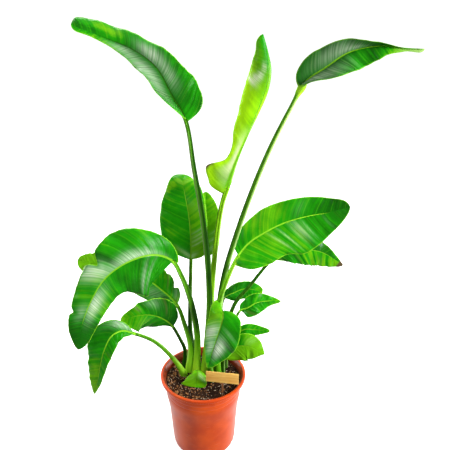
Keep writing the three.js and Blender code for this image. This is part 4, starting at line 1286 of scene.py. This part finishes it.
def scatter(name, count, material, rng, lengths, flat, thinning=0):
    """Small uneven grains that lie on the mix, all in one piece; with thinning, fewer lie at the right."""
    shape = bmesh.new()
    bmesh.ops.create_icosphere(shape, subdivisions=1, radius=1)
    shape.verts.ensure_lookup_table()
    ball = np.array([v.co for v in shape.verts])
    ball_faces = np.array([[v.index for v in f.verts] for f in shape.faces])
    shape.free()
    vertices, faces, tints = [], [], []
    reach = SOIL_SIDE[-1][0] - GRAIN_MARGIN
    while len(tints) < count * len(ball):
        x, y = rng.uniform(-reach, reach, 2)
        wanted = np.clip(1 - thinning * (x - THIN_FROM) / THIN_OVER, THIN_LEAST, 1)
        if math.hypot(x, y) > reach or rng.random() > wanted:
            continue
        length = rng.uniform(*lengths)
        size = np.array([length, length * rng.uniform(*GRAIN_WIDTHS), length * rng.uniform(*flat)]) / 2
        grain = ball * (1 + rng.uniform(-GRAIN_LUMPS, GRAIN_LUMPS, (len(ball), 1))) * size
        turn, tilt = rng.uniform(0, 2 * np.pi), rng.uniform(-GRAIN_TILT, GRAIN_TILT)
        place = (x, y, soil_height(x, y) + size[2] * (1 - 2 * GRAIN_SINK))
        faces.append(ball_faces + len(tints))
        vertices.append(turned(grain, tilt, turn) + place)
        tints += [rng.random()] * len(ball)
    vertices, faces = np.vstack(vertices) * MM, np.vstack(faces)
    piece = new_object(name, vertices, faces, material, {"tint": tints}, smooth=False)
    settle(piece, "soil")


# The tag


def board(name, low, high, half, bevel, material, turn):
    """A board with softened edges in the middle of a box, turned about its own upright line."""
    shape = bmesh.new()
    bmesh.ops.create_cube(shape, size=1)
    bmesh.ops.scale(shape, vec=2 * half, verts=shape.verts)
    bmesh.ops.bevel(shape, geom=shape.edges, offset=bevel, segments=3, profile=0.6, affect="EDGES")
    bmesh.ops.rotate(shape, cent=(0, 0, 0), matrix=turn, verts=shape.verts)
    bmesh.ops.translate(shape, vec=(low + high) / 2, verts=shape.verts)
    mesh = bpy.data.meshes.new(name)
    shape.to_mesh(mesh)
    shape.free()
    mesh.materials.append(material)
    mesh.shade_smooth()
    mesh.set_sharp_from_angle(angle=TAG_SHARP)
    return link(name, mesh)


# Settings that a user would change


def a_colour(name, description, default):
    return FloatVectorProperty(
        name=name, description=description, subtype="COLOR", size=3, min=0, max=1, default=default
    )


def a_number(name, description, default, least=0.0, unit="NONE"):
    return FloatProperty(name=name, description=description, default=default, min=least, unit=unit)


def an_angle(name, description, degrees):
    return FloatProperty(name=name, description=description, subtype="ANGLE", default=math.radians(degrees))


def a_count(name, description, default, least=0):
    return IntProperty(name=name, description=description, default=default, min=least)


class StageSettings(bpy.types.PropertyGroup):
    camera_place: FloatVectorProperty(
        name="Camera place", description="Where the camera stands", subtype="XYZ", unit="LENGTH",
        default=(0.062, -1.396, 1.378),
    )
    camera_pitch: an_angle("Camera pitch", "How far the camera looks down", 26)
    camera_lens: a_number("Lens", "Focal length", 49.6, least=1.0, unit="CAMERA")
    floor_colour: a_colour("Floor", "Colour of the floor", (0.93, 0.93, 0.935))
    floor_glow: a_number("Floor glow", "How much the floor is lit up", 0.62)
    floor_gloss: a_number("Floor gloss", "The floor as glossy surfaces mirror it", 0.35)
    bounce: a_number("Bounce", "Share of the light that the floor throws back", 0.3)
    ambient: a_number("Ambient", "Strength of the light from all round", 0.3)
    gloss_ambient: a_number("Gloss", "Strength of what glossy surfaces mirror", 0.6)
    overhead: a_number("Overhead", "Strength of the broad light from above", 0.7)
    key_power: a_number("Key", "Power of the key softbox", 95, unit="POWER")
    fill_power: a_number("Fill", "Power of the fill softbox", 12, unit="POWER")
    back_power: a_number("Back", "Power of the softbox behind", 30, unit="POWER")
    rim_power: a_number("Rims", "Power of the softboxes at both sides", 30, unit="POWER")


class PotSettings(bpy.types.PropertyGroup):
    colour: a_colour("Colour", "Colour of the plastic", (0.62, 0.073, 0.004))
    shade_colour: a_colour("Shade", "Colour of the darker blotches in the plastic", (0.5, 0.046, 0.003))
    # The inside of the wall is painted in this colour as shade
    inside_shade_colour: a_colour("Inside", "Colour of the wall above the mix", (0.16, 0.025, 0.008))
    sides: a_count("Sides", "How finely the pot is turned", 192, least=24)


class SoilSettings(bpy.types.PropertyGroup):
    dark_colour: a_colour("Dark", "Colour of the damp mix", (0.007, 0.0035, 0.002))
    light_colour: a_colour("Light", "Colour of the drier mix", (0.042, 0.017, 0.008))
    bark: a_count("Bark", "How many bits of bark lie on the mix", 420)
    perlite: a_count("Perlite", "How many white grains lie on the mix", 420)
    crumbs: a_count("Crumbs", "How many dark crumbs lie on the mix", 900)
    seed: a_count("Seed", "Draws the places of the grains", 7)


class LeafSettings(bpy.types.PropertyGroup):
    thickness: a_number("Thickness", "Thickness of a blade at its rib", 0.0007, least=0.0002, unit="LENGTH")
    pleat: a_number("Pleats", "Height of the folds along the veins", 0.0007, unit="LENGTH")
    blade_pitch: a_number("Blade rows", "Distance of the rows of a blade", 0.0022, least=0.001, unit="LENGTH")
    stalk_pitch: a_number("Stalk rows", "Distance of the rings of a stalk", 0.009, least=0.001, unit="LENGTH")
    deep: a_colour("Deep green", "Colour of the old leaves", (0.006, 0.12, 0.002))
    mid: a_colour("Mid green", "Colour of most leaves", (0.012, 0.27, 0.002))
    fresh: a_colour("Fresh green", "Colour of the light parts", (0.135, 0.43, 0.004))
    young: a_colour("Young green", "Colour of the leaf that unrolls", (0.42, 0.88, 0.006))
    rib: a_colour("Rib", "Colour of midribs, margins and necks", (0.24, 0.6, 0.02))
    stalk: a_colour("Stalk", "Colour of the dark parts of stalks", (0.012, 0.07, 0.002))
    sheath: a_colour("Sheath", "Colour of the stalks where they leave the mix", (0.45, 0.82, 0.03))
    # Pale is also the colour of the painted highlight on the lit side of the stalks
    pale: a_colour("Pale", "Colour of the pale parts of the leaf that unrolls", (0.68, 0.82, 0.38))
    # The painted sheen colours stand for gloss highlights on the leaves
    painted_sheen: a_colour("Wax", "Colour of the painted sheen on the glossy parts", (0.68, 0.8, 0.6))
    young_painted_sheen: a_colour("Young gloss", "Colour of the gloss on the leaf that unrolls", (0.95, 1.0, 0.75))
    dry: a_colour("Dry", "Colour of brown tips and specks", (0.1, 0.07, 0.03))


class TagSettings(bpy.types.PropertyGroup):
    light_colour: a_colour("Light", "Colour of the wood", (0.88, 0.55, 0.13))
    dark_colour: a_colour("Dark", "Colour of the wood's lines", (0.7, 0.36, 0.065))
    stick_colour: a_colour("Stick", "Colour of the stick", (0.36, 0.15, 0.06))
    turn: an_angle("Turn", "How far the tag is turned about its stick", -9)


# Operators


class PLANT_OT_stage(bpy.types.Operator):
    """Set up the floor, the studio light and the camera"""

    bl_idname = "plant.stage"
    bl_label = "Stage"

    def execute(self, context):
        settings = context.scene.plant_stage
        self.floor(settings)
        self.surroundings(context.scene, settings)
        self.lights(settings)
        self.camera(context.scene, settings)
        return say(self, "Stage is set")

    def floor(self, settings):
        far = FLOOR_REACH
        corners = [(-far, -far, 0), (far, -far, 0), (far, far, 0), (-far, far, 0)]
        material, net = new_material("Studio floor")
        mottle = net.times(net.noise(net.place(), 3.0, 2.0), 0.04)
        tone = net.mix(mottle, (*settings.floor_colour, 1), FLOOR_MOTTLE)
        # The floor is lit up for the camera, and what the plant gets back from it is less
        ray = net.add("ShaderNodeLightPath").outputs
        lit = net.times(ray["Is Camera Ray"], settings.floor_glow)
        mirrored = net.times(ray["Is Glossy Ray"], settings.floor_gloss)
        net.surface({
            "Base Color": net.mix(ray["Is Camera Ray"], (*[settings.bounce] * 3, 1), tone),
            "Roughness": 0.9,
            "Specular IOR Level": 0.0,
            "Emission Color": (1, 1, 1, 1),
            "Emission Strength": net.plus(lit, mirrored),
        })
        floor = new_object("studio_floor", corners, [[0, 1, 2, 3]], material, smooth=False)

    def surroundings(self, scene, settings):
        world = bpy.data.worlds.new("Studio")
        world.use_nodes = True
        net = Wiring(world.node_tree)
        ray = net.add("ShaderNodeLightPath").outputs
        gloss = net.times(ray["Is Glossy Ray"], settings.gloss_ambient - settings.ambient)
        strength = net.plus(net.plus(gloss, settings.ambient), ray["Is Camera Ray"])
        light = net.add("ShaderNodeBackground", {"Color": (1, 1, 1, 1), "Strength": strength})
        net.add("ShaderNodeOutputWorld", {"Surface": light.outputs[0]})
        scene.world = world
        scene.view_settings.view_transform = "Standard"

    def lights(self, settings):
        sun = bpy.data.lights.new("overhead", "SUN")
        sun.energy = settings.overhead
        sun.angle = SUN_SOFTNESS
        self.hang(sun, SUN_PLACE, SUN_AIM)
        for name, power, size, place, aim_height in SOFTBOXES:
            light = bpy.data.lights.new(name, "AREA")
            light.energy = getattr(settings, power)
            light.size = size
            self.hang(light, place, (0, 0, aim_height))

    def hang(self, light, place, aim):
        lamp = link(light.name, light)
        lamp.location = place
        lamp.rotation_euler = (Vector(aim) - Vector(place)).to_track_quat("-Z", "Y").to_euler()

    def camera(self, scene, settings):
        camera = link("camera", bpy.data.cameras.new("camera"))
        camera.data.lens = settings.camera_lens
        camera.location = settings.camera_place
        camera.rotation_euler = (math.pi / 2 - settings.camera_pitch, 0, 0)
        scene.camera = camera


class PLANT_OT_pot(bpy.types.Operator):
    """Build the moulded pot with its collar, lip, drains and foot notches"""

    bl_idname = "plant.pot"
    bl_label = "Pot"

    def execute(self, context):
        pot = build_pot(context.scene.plant_pot)
        if len(pot.data.polygons) < LEAST_POT_FACES:
            raise RuntimeError("the pot lost its shell when the drains were cut")
        return say(self, "Pot is built")


class PLANT_OT_soil(bpy.types.Operator):
    """Fill the pot with potting mix and scatter crumbs, bark and perlite on it"""

    bl_idname = "plant.soil"
    bl_label = "Potting mix"

    def execute(self, context):
        settings = context.scene.plant_soil
        rng = np.random.default_rng(settings.seed)
        build_soil(settings)
        crumb = grit_material("Crumbs", settings.light_colour, settings.dark_colour, roughness=0.9)
        scatter("mix_crumbs", settings.crumbs, crumb, rng, lengths=(2, 5), flat=(0.5, 0.9))
        bark = grit_material("Bark", *BARK_COLOURS, roughness=0.8)
        scatter("mix_bark", settings.bark, bark, rng, lengths=(3, 8), flat=(0.2, 0.5), thinning=1)
        perlite = grit_material("Perlite", *PERLITE_COLOURS, roughness=0.85)
        scatter("mix_perlite", settings.perlite, perlite, rng, lengths=(1.4, 3.4), flat=(0.6, 0.95))
        return say(self, "Potting mix is in")


class PLANT_OT_leaves(bpy.types.Operator):
    """Grow all the leaves from the soil to their tips"""

    bl_idname = "plant.leaves"
    bl_label = "Leaves"

    def execute(self, context):
        settings = context.scene.plant_leaves
        keys = ("rib", "stalk", "sheath", "pale", "dry")
        shared = {key.capitalize(): getattr(settings, key) for key in keys}
        grown = dict(Deep=settings.deep, Mid=settings.mid, Fresh=settings.fresh, Wax=settings.painted_sheen)
        young = dict(Deep=settings.mid, Mid=settings.fresh, Fresh=settings.young, Wax=settings.young_painted_sheen)
        for seed, leaf in enumerate(LEAVES):
            unrolls = leaf["colour"] == "young"
            colours = {**shared, **(young if unrolls else grown)}
            palette = {key: (*green, 1) for key, green in colours.items()}
            palette["Banding"] = YOUNG_BANDING if unrolls else 1.0
            material = leaf_material(leaf["colour"].capitalize(), palette)
            vertices, faces, values = leaf_mesh(leaf, settings, seed)
            piece = new_object(leaf["name"].replace("leaf_", "") + "_leaf", vertices, faces, material, values)
            settle(piece, "leaf_" + leaf["colour"], leaf["name"])
        return say(self, "Leaves are grown")


class PLANT_OT_tag(bpy.types.Operator):
    """Make the bare wooden tag and its stick"""

    bl_idname = "plant.tag"
    bl_label = "Tag"

    def execute(self, context):
        settings = context.scene.plant_tag
        turn = Matrix.Rotation(settings.turn, 3, "Z")
        wood = wood_material("Bare wood", settings.light_colour, settings.dark_colour, line_scale=1.0)
        plate = board("tag_board", PLATE_LOW, PLATE_HIGH, PLATE_HALF, PLATE_BEVEL, wood, turn)
        settle(plate, "tag_plate", "tag_plate")
        shade = tuple(0.5 * channel for channel in settings.stick_colour)
        darker = wood_material("Stained stick", settings.stick_colour, shade, line_scale=1.3)
        half = Vector((*STICK_HALF, (STICK_HIGH.z - STICK_LOW.z) / 2))
        stick = board("tag_stake", STICK_LOW, STICK_HIGH, half, STICK_BEVEL, darker, turn)
        settle(stick, "tag_stick", "tag_stick")
        return say(self, "Tag is made")


class PLANT_PT_panel(bpy.types.Panel):
    bl_idname = "PLANT_PT_panel"
    bl_label = "Potted bird of paradise"
    bl_space_type = "VIEW_3D"
    bl_region_type = "UI"
    bl_category = "Plant"

    def draw(self, context):
        for operator, settings in STEPS:
            box = self.layout.box()
            box.operator(operator)
            group = getattr(context.scene, settings)
            for key in group.bl_rna.properties.keys():
                if key not in {"rna_type", "name"}:
                    box.prop(group, key)


STEPS = (
    ("plant.stage", "plant_stage"),
    ("plant.pot", "plant_pot"),
    ("plant.soil", "plant_soil"),
    ("plant.leaves", "plant_leaves"),
    ("plant.tag", "plant_tag"),
)
SETTINGS = {
    "plant_stage": StageSettings,
    "plant_pot": PotSettings,
    "plant_soil": SoilSettings,
    "plant_leaves": LeafSettings,
    "plant_tag": TagSettings,
}
OPERATORS = (PLANT_OT_stage, PLANT_OT_pot, PLANT_OT_soil, PLANT_OT_leaves, PLANT_OT_tag)
CLASSES = (*SETTINGS.values(), *OPERATORS, PLANT_PT_panel)


def register():
    for cls in CLASSES:
        bpy.utils.register_class(cls)
    for name, settings in SETTINGS.items():
        setattr(bpy.types.Scene, name, PointerProperty(type=settings))


def unregister():
    for name in SETTINGS:
        delattr(bpy.types.Scene, name)
    for cls in reversed(CLASSES):
        bpy.utils.unregister_class(cls)


def main():
    register()
    bpy.ops.plant.stage()
    bpy.ops.plant.pot()
    bpy.ops.plant.soil()
    bpy.ops.plant.leaves()
    bpy.ops.plant.tag()


if __name__ == "__main__":
    main()
